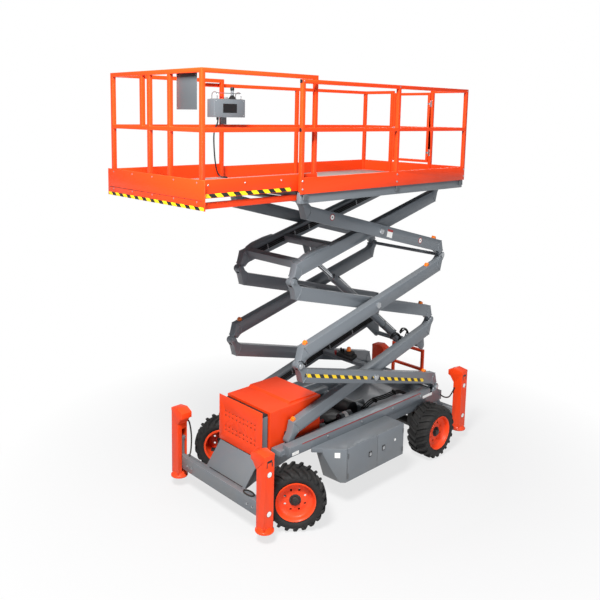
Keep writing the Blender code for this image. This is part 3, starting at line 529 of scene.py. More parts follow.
finishes = ((orange, ["hood", "front_panel", "rear_guard", "extension_deck", "extension_rails", "gate",
                      "platform_rails", "leg_front_left", "leg_front_right", "leg_rear_left",
                      "leg_rear_right"]),
            (grey, ["chassis_frame", "front_bumper", "rear_beam", "cabinet_left", "cabinet_right",
                    "door_front_left", "door_front_right", "door_rear_left", "door_rear_right",
                    "arm_inner_1", "arm_inner_2", "arm_inner_3", "arm_outer_1", "arm_outer_2",
                    "arm_outer_3", "lift_barrel", "platform_deck", "control_box"]),
            (darkGrey, ["document_plate"]),
            (black, ["engine_block", "radiator", "front_axle", "rear_axle", "knuckle_left",
                     "knuckle_right", "power_unit"]),
            (chrome, ["lift_rod"]))
edges = {"arm": 0.0035, "leg": 0.004, "hood": 0.0, "platform_rails": 0.0022, "extension_rails": 0.003}
floors = {"platform_deck": floorZ, "extension_deck": floorZ + 0.020}
for finish, nodes in finishes:
    for node in nodes:
        width = next((w for key, w in edges.items() if node.startswith(key)), 0.002)
        dress(node, finish, width, floors.get(node))
print("stage: CAD pieces dressed")

# Wheels
tyre = {"lugs": 21, "lead": 0.26, "sides": 96,
        "stations": ((0.004, 0.330, 0.290, 0.050), (0.045, 0.330, 0.290, 0.050),
                     (0.090, 0.3295, 0.290, 0.056), (0.120, 0.3255, 0.285, 0.062),
                     (0.138, 0.309, 0.272, 0.066), (0.1445, 0.282, 0.258, 0.064)),
        "wall": ((0.2025, 0.123), (0.214, 0.1255), (0.222, 0.134), (0.232, 0.1365), (0.236, 0.1405),
                 (0.252, 0.1435), (0.268, 0.1415), (0.285, 0.134), (0.297, 0.118), (0.3015, 0.090),
                 (0.303, 0.045))}
rim = {"sides": 72, "holes": 8, "holeAt": 0.113, "hole": 0.0135,
       "section": ((0.1902, -0.1353), (0.210, -0.1353), (0.2125, -0.133), (0.2125, -0.1233),
                   (0.2022, -0.123), (0.2022, 0.123), (0.2125, 0.1233), (0.2128, 0.133), (0.210, 0.1375),
                   (0.205, 0.137), (0.201, 0.131), (0.1965, 0.127), (0.1925, 0.118), (0.189, 0.096),
                   (0.185, 0.086), (0.176, 0.078), (0.164, 0.072), (0.150, 0.066), (0.140, 0.064),
                   (0.125, 0.067), (0.100, 0.072), (0.070, 0.074), (0.060, 0.074), (0.060, 0.060),
                   (0.100, 0.058), (0.140, 0.050), (0.164, 0.052), (0.180, 0.060), (0.183, 0.050),
                   (0.188, -0.1193))}
hub = {"bolts": 8, "boltAt": 0.0515, "face": 0.0825,
       "section": ((0, 0.052), (0.062, 0.052), (0.062, 0.078), (0.056, 0.083), (0.044, 0.084), (0.041, 0.100),
                   (0.036, 0.105), (0.014, 0.107), (0.012, 0.110), (0, 0.110))}


def ring(profile, sides):
    # A closed outline of (radius, height) turned about Z: x = r cos a, y = r sin a, z = h.
    profile = np.array(profile, float)
    r, h = profile.T
    area = np.sum(r * np.roll(h, -1) - np.roll(r, -1) * h)
    if area < 0:
        r, h = r[::-1], h[::-1]
    angle = np.linspace(0, 2 * math.pi, sides, endpoint=False)
    points = np.stack([np.outer(np.cos(angle), r), np.outer(np.sin(angle), r), np.tile(h, (sides, 1))], -1)
    count = len(r)
    faces = [[i * count + j, (i + 1) % sides * count + j, (i + 1) % sides * count + (j + 1) % count,
              i * count + (j + 1) % count] for i in range(sides) for j in range(count)]
    return points.reshape(-1, 3), faces


def onAxle(shape):
    # Turns a shape's Z axis onto the wheel's own axle, Y, outer side towards +Y.
    return moved(shape, Matrix.Rotation(-math.pi / 2, 4, "X"))


def lug(side, angle):
    # A chevron bar: at each station across the tyre four points at angle + lead, between two radii.
    y, top, low, half = np.array(tyre["stations"]).T
    lead = angle + tyre["lead"] * y / wheels["half"]
    angles = np.stack([lead - half, lead - 0.78 * half, lead + 0.78 * half, lead + half], 1)
    radii = np.stack([low, top, top, low], 1)
    inward = np.stack([np.minimum(y, 0.122), y, y, np.minimum(y, 0.122)], 1)
    points = np.stack([radii * np.cos(angles), side * inward, radii * np.sin(angles)], -1).reshape(-1, 3)
    faces = [[0, 1, 2, 3], [4 * len(y) - n for n in (1, 2, 3, 4)]]
    for k in range(len(y) - 1):
        for n in range(4):
            m = (n + 1) % 4
            faces.append([4 * k + m, 4 * k + n, 4 * k + 4 + n, 4 * k + 4 + m])
    if side > 0:
        faces = [f[::-1] for f in faces]
    return points, faces


def wheelPlace(name):
    # Turns the wheel's own frame, outer side towards +Y, to its place, steered as at rest.
    side = 1 if name.endswith("left") else -1
    if name.startswith("rear"):
        place = Matrix.Translation((wheels["rearX"], side * wheels["rearY"], wheels["radius"]))
    else:
        steer = math.radians(wheels["left"] if side > 0 else wheels["right"])
        turn = Matrix.Rotation(steer, 4, "Z")
        pin = Matrix.Translation((wheels["frontX"], side * wheels["pinY"], wheels["radius"]))
        place = pin @ turn @ Matrix.Translation((0, side * (wheels["frontY"] - wheels["pinY"]), 0))
    return place @ Matrix.Rotation(math.pi, 4, "Z") if side < 0 else place


def cutHoles(item, cutters):
    # Cuts the shapes out of the piece.
    cutter = joined("cutter", cutters)[0]
    modifier = item.modifiers.new("holes", "BOOLEAN")
    modifier.operation = "DIFFERENCE"
    modifier.object = cutter
    bpy.context.view_layer.update()
    cut = bpy.data.meshes.new_from_object(item.evaluated_get(bpy.context.evaluated_depsgraph_get()))
    item.modifiers.clear()
    item.data = cut
    bpy.data.objects.remove(cutter)
    shadeSmooth(cut, 34)


def makeWheel(name):
    place = wheelPlace(name)
    body = bodyOf("tyre_" + name)
    half = tyre["wall"]
    wall = [(half[0][0], -half[0][1]), *half] + [(r, -h) for r, h in half[:0:-1]]
    shapes = [onAxle(ring(wall, tyre["sides"]))]
    for i in range(tyre["lugs"]):
        angle = 2 * math.pi * i / tyre["lugs"]
        shapes += [lug(1, angle), lug(-1, angle + math.pi / tyre["lugs"])]
    item = build("tyreTread_" + name, [moved(s, place) for s in shapes], rubber, body, edge=0.0035, angle=46)
    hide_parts("tyre_" + name)
    dish = onAxle(ring(rim["section"], rim["sides"]))
    item = build("wheelDish_" + name, [moved(dish, place)], orange, body)
    holes = []
    for i in range(rim["holes"]):
        a = 2 * math.pi * (i + 0.5) / rim["holes"]
        at = Vector((rim["holeAt"] * math.cos(a), 0.03, rim["holeAt"] * math.sin(a)))
        holes.append(moved(rod(at, at + Vector((0, 0.08, 0)), rim["hole"], 18, 0.0001), place))
    cutHoles(item, holes)
    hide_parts("rim_" + name)
    shapes = [onAxle(turned(hub["section"], 40))]
    for i in range(hub["bolts"]):
        a = 2 * math.pi * i / hub["bolts"]
        at = (hub["boltAt"] * math.cos(a), hub["face"], hub["boltAt"] * math.sin(a))
        shapes += bolt(at, (0, 1, 0), 0.0078)
    build("wheelHub_" + name, [moved(s, place) for s in shapes], black, body)


for corner in ("front_left", "front_right", "rear_left", "rear_right"):
    makeWheel(corner)
print("stage: wheels")

# Tape, plates and round stickers
tape = {"tall": 0.038, "period": 0.14, "thick": 0.0008}
outerFace = lift["outerY"] + lift["wide"] / 2


def taped(name, start, end, out, body, tall=None):
    # A thin strip whose UV runs in bar widths along it and across it.
    start, end, out = Vector(start), Vector(end), Vector(out)
    along = (end - start).normalized()
    up = out.cross(along).normalized()
    tall = tall or tape["tall"]
    corners = []
    for height in (0, tape["thick"]):
        for place in (start, end):
            for side in (-0.5, 0.5):
                corners.append(place + up * side * tall + out * height)
    faces = [[0, 1, 3, 2], [4, 6, 7, 5], [0, 4, 5, 1], [2, 3, 7, 6], [0, 2, 6, 4], [1, 5, 7, 3]]
    item = build(name, [(np.array([tuple(c) for c in corners]), faces)], hazard, body)
    mesh = item.data
    layer = mesh.uv_layers.new(name="bars")
    for loop in mesh.loops:
        place = mesh.vertices[loop.vertex_index].co - start
        layer.data[loop.index].uv = (place.dot(along) / tape["period"], place.dot(up) / tape["period"] + 0.5)
    work = bmesh.new()
    work.from_mesh(mesh)
    bmesh.ops.recalc_face_normals(work, faces=work.faces)
    work.to_mesh(mesh)
    work.free()
    return item


def card(x, z, wide, tall, tilt, y, thick=0.001):
    # A thin plate on a face that looks along Y, turned by tilt in that face.
    shape = block((-wide / 2, wide / 2), (0, thick), (-tall / 2, tall / 2), 0.0003)
    turn = Matrix.Translation((x, y if y > 0 else y - thick, z)) @ Matrix.Rotation(-tilt, 4, "Y")
    return moved(shape, turn)


def disc(place, towards, radius, thick=0.001, sides=28):
    return aimed(turned([(0, 0), (radius, 0), (radius, thick), (0, thick)], sides), place, towards)


for side, name in ((1, "left"), (-1, "right")):
    face = side * (outerFace + thinGap)
    out = (0, side, 0)
    lowEnd, highEnd = (-0.966, face, 0.941), (1.199, face, 1.539)
    midTape = ((lowEnd[0] + highEnd[0]) / 2 - 0.03, face, (lowEnd[2] + highEnd[2]) / 2 - 0.008)
    taped("hazardTapeRear_" + name, lowEnd, midTape, out, bodyOf("arm_outer_1"))
    taped("hazardTapeFront_" + name, (midTape[0] + 0.07, face, midTape[2] + 0.019), highEnd, out,
          bodyOf("arm_outer_1"))
    y, z = side * 0.7663, floorZ + 0.030
    taped("extensionTape_" + name, (1.62, y, z), (2.672, y, z), out, "extension", 0.036)
extensionFront = deck["front"] + deck["out"]
x, z = extensionFront + thinGap, floorZ - 0.078
taped("frontTape", (x, -0.80, z), (x, 0.80, z), (1, 0, 0), "extension", 0.030)

stickers = {"white": [], "red": [], "black": []}
for side in (1, -1):
    face = side * (outerFace + thinGap)
    for x, z in ((0.835, 3.20), (-0.762, 2.773)):
        stickers["red"].append(disc((x, face, z), (0, side, 0), 0.036))
        stickers["white"].append(disc((x, face + side * 0.0008, z), (0, side, 0), 0.027, 0.0008))
        stickers["black"].append(disc((x, face + side * 0.0014, z), (0, side, 0), 0.009, 0.0006))
    stickers["white"].append(card(-0.159, 2.918, 0.10, 0.085, armTilt, face))
    stickers["red"].append(card(-0.168, 2.954, 0.10, 0.026, armTilt, face + side * 0.0009))
build("armStickersWhite", stickers["white"], whiteVinyl, bodyOf("arm_outer_3"))
build("armStickersRed", stickers["red"], redPaint, bodyOf("arm_outer_3"))
build("armStickersBlack", stickers["black"], black, bodyOf("arm_outer_3"))
print("stage: tape and stickers")

# Pins, welds and stops on the arms
arm = {"weld": 0.0035, "stop": (0.05, 0.045, 0.035), "boltAt": 0.026,
       "endCap": ((0, 0), (0.0305, 0), (0.032, 0.0015), (0.032, 0.005), (0.029, 0.0075), (0.013, 0.0085),
                  (0.011, 0.0065), (0, 0.0065)),
       "centreCap": ((0, 0), (0.034, 0), (0.036, 0.002), (0.036, 0.006), (0.033, 0.008), (0.018, 0.009),
                     (0.016, 0.007), (0, 0.007))}


def local(node, u, y, w):
    return armFrame(node) @ Vector((u, y, w))


def armDetails(node):
    place = armFrame(node)
    across = arms[node][2]
    half = lift["wide"] / 2
    tall = lift["tall"] / 2
    beads, caps, bolts, plates = [], [], [], []
    for side in (1, -1):
        for end in (1, -1):
            for skin in (1, -1):
                y = side * (across + skin * (half + 0.0008))
                path = [(end * (reach - 0.118), y, end * tall), (end * (reach - 0.126), y, 0),
                        (end * (reach - 0.085), y, -end * tall)]
                beads.append(pipe([place @ Vector(p) for p in path], arm["weld"], 6, 5))
            y = side * (across + half + 0.0045)
            if node.startswith("arm_outer") and (end > 0 or node == "arm_outer_1"):
                at = place @ Vector((end * reach, y, end * drop))
                caps.append(aimed(turned(arm["endCap"], 28), at, (0, side, 0)))
                if end < 0:
                    continue
                keeper = block((end * reach - 0.060, end * reach - 0.022),
                               (y - side * 0.0042, y + side * 0.0015), span(end * drop, 0.013), 0.002)
                plates.append(moved(keeper, place))
                at = place @ Vector((end * reach - 0.048, y + side * 0.0015, end * drop))
                bolts += bolt(at, (0, side, 0), 0.0065)
        # The centre pin's cap with its four bolts
        if node.startswith("arm_outer"):
            at = place @ Vector((0, side * (across + half + 0.0102), 0))
            caps.append(aimed(turned(arm["centreCap"], 32), at, (0, side, 0)))
            for a in map(math.radians, (45, 135, 225, 315)):
                spot = Vector((arm["boltAt"] * math.cos(a), side * (across + half + 0.0185),
                               arm["boltAt"] * math.sin(a)))
                bolts += bolt(place @ spot, (0, side, 0), 0.0035)
    build("welds_" + node, beads, grey, bodyOf(node))
    if caps:
        build("pinCaps_" + node, caps, steel, bodyOf(node))
        build("pinKeepers_" + node, plates, grey, bodyOf(node), edge=0.0)
        build("pinBolts_" + node, bolts, steel, bodyOf(node))


for node in arms:
    armDetails(node)


def stopBlock(node, x, y, z):
    # A rest block that slopes at both ends and stands on the arm's top face at this place.
    place = armFrame(node)
    at = place.inverted() @ Vector((x, y, z))
    a, b, c = arm["stop"]
    base = lift["tall"] / 2
    outline = [(at.x - a / 2, base), (at.x + a / 2, base), (at.x + a / 2 - 0.008, base + c),
               (at.x - a / 2 + 0.012, base + c * 0.8)]
    return moved(prism(outline, "y", at.y - b / 2, at.y + b / 2), place)


stops = {"arm_outer_2": [(1.146, -0.55, 1.873), (1.161, 0.55, 1.87), (-0.99, 0.55, 2.40)],
         "arm_inner_2": [(-1.059, 0.43, 1.883)],
         "arm_outer_1": [(-1.024, 0.55, 1.008)],
         "arm_inner_1": [(1.199, 0.43, 0.998)],
         "arm_outer_3": [(-1.10, 0.55, 2.72)]}
for node, places in stops.items():
    build("stopBlocks_" + node, [stopBlock(node, *p) for p in places], amber, bodyOf(node), edge=0.004)
print("stage: arm details")

# Cross tube of the first inner arm with its valve box and lamp
valveBox = {"u": 0.145, "tube": 0.06, "box": (0.11, 0.085),
            "dome": ((0, 0), (0.030, 0), (0.030, 0.006), (0.026, 0.008), (0.026, 0.030), (0.022, 0.042),
                     (0.012, 0.049), (0, 0.051))}


def valveDetails():
    node = "arm_inner_1"
    place = armFrame(node)
    u, size = valveBox["u"], valveBox["tube"] / 2
    inside = lift["innerY"] - lift["wide"] / 2
    tube = block(span(u, size), (-inside, inside), (-size, size), 0.006)
    build("crossTube_valve", [moved(tube, place)], grey, bodyOf(node))
    a, c = valveBox["box"]
    low = size + 0.0005
    shapes = [block(span(u, a / 2), (-0.15, 0.11), (low, low + c * 0.55), 0.008),
              block((u - a / 2 + 0.012, u + a / 2 - 0.012), (-0.13, -0.01), (low + c * 0.5, low + c), 0.006)]
    for y in (-0.105, -0.07, -0.035, 0.04, 0.08):
        shapes.append(rod((u + 0.02, y, low + c * 0.5), (u + 0.02, y, low + c * 0.5 + 0.045), 0.013, 14))
    build("valveBlock", [moved(s, place) for s in shapes], plastic, bodyOf(node))
    lampBase = place @ Vector((u + 0.02, -0.05, low + c))
    build("warningLamp", [aimed(turned(valveBox["dome"], 32), lampBase, (0, 0, 1))], amber, bodyOf(node))
    red = [moved(rod((u - 0.02, 0.145, low), (u - 0.02, 0.145, low + 0.05), 0.018, 16), place)]
    build("redValveKnob", red, redPaint, bodyOf(node))


valveDetails()


def coverDetails():
    # A low cover plate with a row of bolts on top of the third inner arms, near their front ends.
    node = "arm_inner_3"
    place = armFrame(node)
    shapes, bolts = [], []
    for side in (1, -1):
        y = side * arms[node][2]
        low, high = -reach + 0.17, -reach + 0.62
        top = lift["tall"] / 2
        outline = [(low, top + 0.0004), (high, top + 0.0004), (high - 0.03, top + 0.018),
                   (high - 0.16, top + 0.030), (low + 0.10, top + 0.030), (low + 0.02, top + 0.014)]
        shapes.append(prism(outline, "y", y - 0.042, y + 0.042))
        for n in range(4):
            bolts += bolt((low + 0.115 + 0.052 * n, y + 0.024, top + 0.0302), (0, 0, 1), 0.008)
    build("armCovers", [moved(s, place) for s in shapes], grey, bodyOf(node), edge=0.003)
    build("armCoverBolts", [moved(s, place) for s in bolts], steel, bodyOf(node))


coverDetails()

# Hoses that are clipped along the arms
hoseSize = 0.0075


def clipped(name, node, points, radius=hoseSize):
    place = armFrame(node)
    path = [place @ Vector(p) for p in points]
    clips = []
    for a, b in zip(path[1:-1], path[2:]):
        short = (b - a).normalized() * 0.008
        clips.append(rod(a - short, a + short, radius + 0.002, 12))
    build(name, [pipe(path, radius, 10, 8)], hoseRubber, bodyOf(node))
    build(name + "_clips", clips, steel, bodyOf(node))


for node in ("arm_inner_1", "arm_inner_2", "arm_inner_3"):
    inside = lift["innerY"] - lift["wide"] / 2 - 0.0105
    for n, w in enumerate((0.030, 0.008, -0.014)):
        clipped("armHose%d_%s" % (n, node), node,
                [(-reach + 0.16, inside, w), (-0.9, inside, w), (-0.45, inside - 0.002, w),
                 (-0.2, inside, w - 0.006), (0.25, inside, w), (0.7, inside - 0.002, w),
                 (reach - 0.16, inside, w)])


def loops(name, body, centre, count, size, spread):
    # Slack hose loops: half a turn each, side by side across the machine.
    shapes = []
    for i in range(count):
        y = centre[1] + spread * (i - (count - 1) / 2)
        grow = size * (1 + 0.10 * math.sin(2.3 * i))
        points = []
        for n in range(9):
            a = math.radians(-70 + 220 * n / 8)
            points.append((centre[0] - grow * math.cos(a) + 0.01 * i, y + 0.008 * math.sin(3 * a + i),
                           centre[2] + grow * 0.85 * math.sin(a)))
        shapes.append(pipe(points, hoseSize, 10, 6))
    build(name, shapes, hoseRubber, body)


for u, size in ((0.74, 0.105), (0.92, 0.085)):
    spot = local("arm_inner_1", u, 0, 0)
    loops("hoseLoops%d" % round(100 * u), bodyOf("arm_inner_1"), (spot.x, 0.32, spot.z + 0.045), 4, size,
          0.0165)
print("stage: hoses on the arms")

# Lift cylinder: gland, ports and hard pipe
barrelLength = 1.71


def cylinderDetails():
    start = Vector((lift["base"][0], 0, lift["base"][1]))
    end = Vector((lift["eye"][0], 0, lift["eye"][1]))
    ahead = (end - start).normalized()
    up = ahead.cross(Vector((0, 1, 0))).normalized()
    up = up if up.z > 0 else -up
    gland = start + ahead * (barrelLength + 0.013)
    wiper = turned([(0.0285, 0), (0.0485, 0), (0.0485, 0.004), (0.040, 0.010), (0.0285, 0.010)], 36)
    build("rodWiper", [aimed(wiper, gland - ahead * 0.001, ahead)], steel, bodyOf("lift_barrel"))
    route = ((0.14, 0.058), (0.20, 0.062), (0.9, 0.0595), (1.52, 0.062), (1.60, 0.056))
    line = [start + ahead * u + up * w for u, w in route]
    ports = [rod(start + ahead * u + up * 0.0475, start + ahead * u + up * 0.066, 0.017, 16)
             for u in (0.14, 1.61)]
    for s in (0.45, 1.2):
        band = ring([(0.0473, -0.012), (0.050, -0.012), (0.050, 0.012), (0.0473, 0.012)], 28)
        ports.append(aimed(band, start + ahead * s, ahead))
    build("liftPipe", [pipe(line, 0.0075, 10, 8)], steel, bodyOf("lift_barrel"))
    build("liftPorts", ports, darkGrey, bodyOf("lift_barrel"))


cylinderDetails()
print("stage: lift cylinder")

# Platform fittings
postTop = floorZ + deck["rail"]
gateSide = {"near": 0.2825, "inner": deck["back"] + 0.0235, "hinges": (0.24, 0.86)}
boltRows = {"x": (deck["front"] + 0.01, 0.03, deck["back"] + 0.004), "z": (0.025, 0.105),
            "bracketX": (1.46, 0.009, -1.26)}
control = {"boot": ((0.046, 0.003), (0.046, 0.008), (0.040, 0.012), (0.041, 0.016), (0.034, 0.020),
                    (0.035, 0.024), (0.028, 0.028), (0.029, 0.032), (0.022, 0.037), (0.0185, 0.044),
                    (0.0182, 0.003)),
           "grip": ((0, 0.0975), (0.019, 0.0975), (0.0225, 0.106), (0.0225, 0.128), (0.017, 0.139),
                    (0, 0.142)),
           "button": ((0, 0.003), (0.010, 0.003), (0.010, 0.018), (0.020, 0.020), (0.021, 0.027),
                      (0.016, 0.032), (0, 0.033))}


def platformFittings():
    # End caps, bolts and brackets of the rails, and the gate's hinges and latch.
    caps, hinges, leaves, bolts, latch, brackets = [], [], [], [], [], []
    tube = deck["tube"]
    for side in (1, -1):
        y = side * (deck["half"] - tube / 2)
        for z in (postTop - tube / 2, floorZ + deck["mid"]):
            x = deck["front"] + 0.03
            caps.append(block((x + gap, x + 0.004), span(y, 0.018), span(z, 0.018), 0.0025))
        for x in boltRows["x"]:
            for z in boltRows["z"]:
                bolts += bolt((x, side * (deck["half"] + thinGap), floorZ + z), (0, side, 0), 0.008)
            bolts += bolt((x, side * (deck["half"] + thinGap), postTop - 0.02), (0, side, 0), 0.006)
        for x in boltRows["bracketX"]:
            brackets.append(block(span(x, 0.03), (side * 0.7955, side * 0.8115),
                                  (floorZ - 0.088, floorZ - 0.026), 0.004))
    for hinge in gateSide["hinges"]:
        z = floorZ + hinge
        axle = (gateSide["inner"] + 0.0063, gateSide["near"] + 0.0025)
        leaves.append(rod((axle[0], axle[1], z + 0.032), (axle[0], axle[1], z + 0.058), 0.0085, 18))
        leaves.append(block((axle[0] - 0.006, axle[0] - 0.0032), (axle[1] - 0.032, axle[1] - 0.003),
                            (z + 0.032, z + 0.058), 0.0008))
        hinges.append(block((axle[0] - 0.0008, axle[0] + 0.0015), (axle[1] + 0.010, axle[1] + 0.036),
                            (z + 0.003, z + 0.087), 0.0008))
        for high in (0.02, 0.07):
            bolts += bolt((axle[0] + 0.0015, axle[1] + 0.026, z + high), (1, 0, 0), 0.005)
    z = floorZ + deck["mid"]
    outside = deck["back"] - 0.0165
    latch.append(block((outside - 0.006, outside - 0.0004), (-0.345, -0.262), span(z, 0.03), 0.0015))
    latch.append(block((outside - 0.016, outside - 0.0055), (-0.345, -0.325), span(z, 0.022), 0.002))
    x = gateSide["inner"] + 0.012
    leaves.append(rod((x, -0.285, z), (x, -0.205, z), 0.006, 14))
    leaves.append(block((gateSide["inner"] + 0.0004, gateSide["inner"] + 0.02), (-0.270, -0.250),
                        span(z, 0.012), 0.002))
    build("railEndCaps", caps, plastic, "platform")
    build("hingePlates", hinges + latch, steel, "platform")
    build("gateHingeLeaves", leaves, steel, "gate")
    build("platformBolts", bolts, steel, "platform")
    build("railBrackets", brackets, darkGrey, "platform")


def extensionFittings():
    # Slide rollers in their forks, bolts, the floor's front seam and the plate's rivets.
    tube = deck["tube"]
    rollerX, rollerZ = 1.42, floorZ - 0.1135
    sideBolts, frontBolts = (1.32, 1.75, 2.20, 2.62), (-0.70, -0.35, 0, 0.35, 0.70)
    bolts, rollers, forks = [], [], []
    for side in (1, -1):
        y = side * (deck["half"] - 0.0995)
        rollers.append(rod((rollerX, y - 0.019, rollerZ), (rollerX, y + 0.019, rollerZ), 0.0215, 28))
        outer = side * (deck["half"] - 0.064)
        forks.append(block((1.385, 1.455), (outer, outer + side * 0.005), (floorZ - 0.14, floorZ - 0.03),
                           0.003))
        forks.append(rod((rollerX, y - 0.024, rollerZ), (rollerX, y + 0.04, rollerZ), 0.007, 14))
        for x in sideBolts:
            bolts += bolt((x, side * 0.7675, floorZ + 0.125), (0, side, 0), 0.0065)
    for y in frontBolts:
        for z in (floorZ + 0.145, floorZ - 0.025):
            bolts.append(disc((extensionFront + thinGap, y, z), (1, 0, 0), 0.008))
    build("slideRollers", rollers, plastic, "platform")
    build("rollerForks", forks, darkGrey, "platform")
    build("extensionBolts", bolts, steel, "extension")
    lip = [block((extensionFront + thinGap, extensionFront + 0.0012), (-0.78, 0.78),
                 (floorZ - 0.0105, floorZ - 0.0065), 0.0004)]
    build("frontSeam", lip, plastic, "extension")
    face = extensionFront - 0.010 - tube
    y = deck["half"] - 0.182
    rivet = turned([(0, 0), (0.006, 0), (0.0055, 0.002), (0.003, 0.0035), (0, 0.004)], 16)
    rivets = []
    for a in (y - 0.285, y - 0.015):
        for z in (floorZ + 0.787, floorZ + 1.068):
            rivets.append(aimed(rivet, (face - gap, a, z), (-1, 0, 0)))
    build("plateRivets", rivets, steel, "extension")


def controlFittings():
    # Dark top plate, joystick with its boot, stop button, four switches, hand guards, a label and the cable.
    wall = -deck["half"] + 0.045 + 0.010 + gap + 0.04 + gap
    x0, x1 = 1.06, 1.50
    top = floorZ + 0.90
    front = wall + 0.13
    stick, stop = (x0 + 0.14, front - 0.06, top), (x0 + 0.30, front - 0.06)
    dark, steelBits, redBits, amberBits = [], [], [], []
    dark.append(block((x0 + 0.02, x1 - 0.02), (wall + 0.015, front - 0.012), (top + gap, top + 0.003),
                      0.001))
    for profile, sides in ((control["boot"], 32), (control["grip"], 28)):
        dark.append(aimed(turned(profile, sides), stick, (0, 0, 1)))
    redBits.append(aimed(turned(control["button"], 28), (*stop, top), (0, 0, 1)))
    amberBits.append(rod((*stop, top + 0.003), (*stop, top + 0.006), 0.026, 28))
    for n in range(4):
        at = (x0 + 0.225, front - 0.035 - 0.022 * n, top + 0.003)
        steelBits.append(rod(at, (at[0], at[1], at[2] + 0.006), 0.006, 14))
        dark.append(rod((at[0], at[1], at[2] + 0.006), (at[0] + 0.006, at[1], at[2] + 0.022), 0.003, 10))
    for x in (x0 + 0.05, x1 - 0.05):
        bend = [(wall + 0.02, 0.001), (wall + 0.02, 0.05), (wall + 0.045, 0.075), (front - 0.04, 0.075),
                (front - 0.016, 0.05), (front - 0.016, 0.001)]
        steelBits.append(pipe([(x, y, top + z) for y, z in bend], 0.0045, 10, 6))
    steelBits.append(pipe([(x0 + 0.05, front - 0.02, top + 0.066), (x1 - 0.05, front - 0.02, top + 0.066)],
                          0.0042, 10, 6))
    for x in (x0 + 0.02, x1 - 0.02):
        for z in (floorZ + 0.72, floorZ + 0.88):
            steelBits += bolt((x, front + gap, z), (0, 1, 0), 0.0045)
    dark.append(block((x0 + 0.12, x0 + 0.32), (front + gap, front + 0.002),
                      (floorZ + 0.75, floorZ + 0.85), 0.002))
    cable = [(0.34, 0.06, 0.703), (0.34, 0.06, 0.64), (0.37, 0.035, 0.52), (0.36, 0.03, 0.30),
             (0.33, 0.03, 0.12), (0.30, 0.06, 0.040), (0.26, 0.14, 0.030)]
    dark.append(pipe([(x0 + x, wall + y, floorZ + z) for x, y, z in cable], 0.008, 10, 8))
    x, y = x0 + 0.34, wall + 0.06
    dark.append(rod((x, y, floorZ + 0.672), (x, y, floorZ + 0.7), 0.014, 14))
    build("controlBlack", dark, plastic, "extension")
    build("controlSteel", steelBits, steel, "extension")
    build("controlStop", redBits, redPaint, "extension")
    build("controlRing", amberBits, amber, "extension")


platformFittings()
extensionFittings()
controlFittings()
print("stage: platform fittings")

# Chassis fittings
railFace = 0.60
door = {"face": 0.88, "hingeZ": (0.37, 0.60),
        "latchAndHinge": (("front", 0.411, 0.784), ("rear", 0.175, -0.189))}
leg = {"half": 0.0627, "labelZ": (0.741, 0.322), "marks": 0.034, "top": 0.9303, "padTop": 0.1235,
       "weld": 0.066}


def railFittings():
    # Red stripe, bolts and blank labels on the chassis rails.
    red, bolts, labels = [], [], []
    for side in (1, -1):
        y = side * (railFace + gap)
        red.append(block((-0.91, 1.22), (y, y + side * 0.0008), (0.775, 0.786), 0.0002))
        for x in (0.818, 0.24, -0.339, -0.90):
            bolts += bolt((x, y, 0.742), (0, side, 0), 0.011)
        labels.append(card(1.318, 0.708, 0.10, 0.036, 0, y))
        labels.append(card(-1.06, 0.712, 0.20, 0.036, 0, y))
    build("railStripe", red, redPaint, "chassis")
    build("railBolts", bolts, steel, "chassis")
    build("railLabels", labels, whiteVinyl, "chassis")


def cabinetFittings():
    # Latches, hinge leaves and blank spots on the cabinet doors.
    for side, name in ((1, "left"), (-1, "right")):
        face = side * (door["face"] + gap)
        for where, x, hingeX in door["latchAndHinge"]:
            body = bodyOf("door_%s_%s" % (where, name))
            latch = [block(span(x, 0.026), (face, face + side * 0.004), (0.475, 0.537), 0.003)]
            seat = face + side * 0.004
            handle = [block(span(x, 0.017), (seat, face + side * 0.007), (0.486, 0.522), 0.002),
                      rod((x, seat, 0.529), (x, face + side * 0.0075, 0.529), 0.005, 16)]
            build("latchFrame_%s_%s" % (where, name), latch, plastic, body)
            build("latchHandle_%s_%s" % (where, name), handle, steel, body)
            leaves = [block(span(hingeX, 0.009), (face, face + side * 0.003), span(z, 0.03), 0.001)
                      for z in door["hingeZ"]]
            build("doorHinges_%s_%s" % (where, name), leaves, darkGrey, body)
            if where == "rear":
                spot = disc((-0.038, face, 0.535), (0, side, 0), 0.016, 0.0008)
                build("doorSpot_" + name, [spot], whiteVinyl, body)
    # A blank square on the corner that is cut at 45 degrees
    square = block((-0.03, 0.03), (-0.03, 0.03), (0.0006, 0.0014), 0.0004)
    build("noseSquare", [aimed(square, (0.888, 0.812, 0.62), (0.7071, 0.7071, 0))], whiteVinyl, "chassis")


